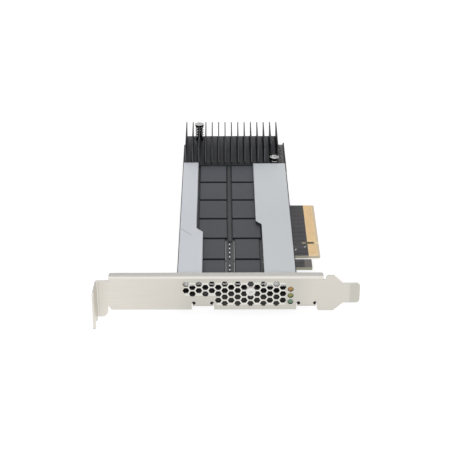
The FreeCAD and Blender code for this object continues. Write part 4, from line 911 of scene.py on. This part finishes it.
# Studio. A white table under the card, with a patch of shade below the board's front, soft light from above
# and from the front, and a grey card far behind that the flange mirrors. The camera stands where the
# photograph was taken.
def plane(name, corners, material):
    """A flat piece of the studio."""
    mesh = bpy.data.meshes.new(name)
    mesh.from_pydata(corners, [], [range(len(corners))])
    mesh.materials.append(material)
    made = new_object(name, mesh)


def seen_directly(tree):
    """1 for rays from the camera, a mirror-like face or a clear piece, 0 for light that is scattered."""
    path = add_node(tree, "ShaderNodeLightPath").outputs
    seen = maths(tree, "MAXIMUM", path["Is Camera Ray"], path["Is Glossy Ray"])
    return maths(tree, "MAXIMUM", seen, path["Is Transmission Ray"])


TABLE_HALF, TABLE_GLOW = 4.0, 0.82
SHADE_ACROSS, SHADE_ALONG = (-51.0, -16.0), (-46.4, -41.5)
table = bpy.data.materials.new("white_table")
table.use_nodes = True
table_tree = table.node_tree
table_tree.nodes.remove(table_tree.nodes["Principled BSDF"])
table_paper = add_node(table_tree, "ShaderNodeBsdfDiffuse", {"Color": (0.8, 0.8, 0.8, 1.0)})
table_place = add_node(table_tree, "ShaderNodeTexCoord").outputs["Object"]
table_x, table_y = add_node(table_tree, "ShaderNodeSeparateXYZ", {0: table_place}).outputs[:2]
table_under = overlap(table_tree, within(table_tree, table_x, *SHADE_ACROSS, 0.8),
                      within(table_tree, table_y, *SHADE_ALONG, 0.25))
table_glow = add_node(table_tree, "ShaderNodeEmission", {
    "Color": (1.0, 1.0, 1.0, 1.0), "Strength": ramp(table_tree, table_under, 0.0, 1.0, TABLE_GLOW, 0.0)})
table_shade = add_node(table_tree, "ShaderNodeBsdfDiffuse", {"Color": (0.25, 0.25, 0.25, 1.0)})
table_sum = add_node(table_tree, "ShaderNodeAddShader", {0: table_glow.outputs[0], 1: table_shade.outputs[0]})
table_mix = add_node(table_tree, "ShaderNodeMixShader", {
    0: seen_directly(table_tree), 1: table_paper.outputs[0], 2: table_sum.outputs[0]})
table_tree.links.new(table_mix.outputs[0], table_tree.nodes["Material Output"].inputs["Surface"])
table_corners = [(x * TABLE_HALF, y * TABLE_HALF, cad_low.z)
                 for x, y in ((-1, -1), (1, -1), (1, 1), (-1, 1))]
plane("table", table_corners, table)
card_grey = finish("studio_card", (0.50, 0.50, 0.50), 0.9, grain=40.0)
CARD_LEFT, CARD_RIGHT, CARD_FOOT, CARD_HEAD = -1.3, 1.2, (1.1, 0.42), (1.5, 1.3)
card_corners = [(CARD_LEFT, *CARD_FOOT), (CARD_RIGHT, *CARD_FOOT), (CARD_RIGHT, *CARD_HEAD),
                (CARD_LEFT, *CARD_HEAD)]
plane("studio_card", card_corners, card_grey)

world = bpy.data.worlds.new("studio")
bpy.context.scene.world = world
world.use_nodes = True
world_tree = world.node_tree
WORLD_LIGHT = 0.42
world_strength = ramp(world_tree, seen_directly(world_tree), 0.0, 1.0, WORLD_LIGHT, 1.0)
world_tree.links.new(world_strength, world_tree.nodes["Background"].inputs["Strength"])
world_tree.nodes["Background"].inputs["Color"].default_value = (1.0, 1.0, 1.0, 1.0)


def soft_light(name, place, target, size, power):
    """A square lamp that looks at a target and isn't mirrored in the card."""
    lamp = bpy.data.lights.new(name, "AREA")
    lamp.shape = "SQUARE"
    lamp.size = size
    lamp.energy = power
    made = new_object(name, lamp)
    made.location = place
    made.rotation_euler = (Vector(target) - Vector(place)).to_track_quat("-Z", "Y").to_euler()
    made.visible_glossy = False


card_middle = (cad_low + cad_high) / 2
soft_light("key", (-0.90, -0.20, 1.60), card_middle, size=1.0, power=3.0)
soft_light("top", (0.20, 0.70, 1.70), card_middle, size=1.3, power=9.0)
soft_light("front", (-0.07, -1.50, 0.90), card_middle, size=0.4, power=22.0)

CAMERA_PLACE, CAMERA_LENS = Vector((-47.704, -565.107, 319.354)), 105.43
PITCH, YAW, ROLL = math.radians(28.628), math.radians(0.164), math.radians(-0.056)
forward = Vector((math.sin(YAW) * math.cos(PITCH), math.cos(YAW) * math.cos(PITCH), -math.sin(PITCH)))
level = forward.cross(Vector((0, 0, 1))).normalized()
upright = level.cross(forward)
rightward = level * math.cos(ROLL) + upright * math.sin(ROLL)
upward = upright * math.cos(ROLL) - level * math.sin(ROLL)
camera_turn = Matrix((rightward, upward, -forward)).transposed().to_4x4()
lens = bpy.data.cameras.new("camera")
lens.lens = CAMERA_LENS
lens.sensor_width = 36.0
camera = new_object("camera", lens)
camera.matrix_world = Matrix.Translation(CAMERA_PLACE * MM) @ camera_turn
bpy.context.scene.camera = camera
bpy.context.scene.view_settings.view_transform = "Standard"
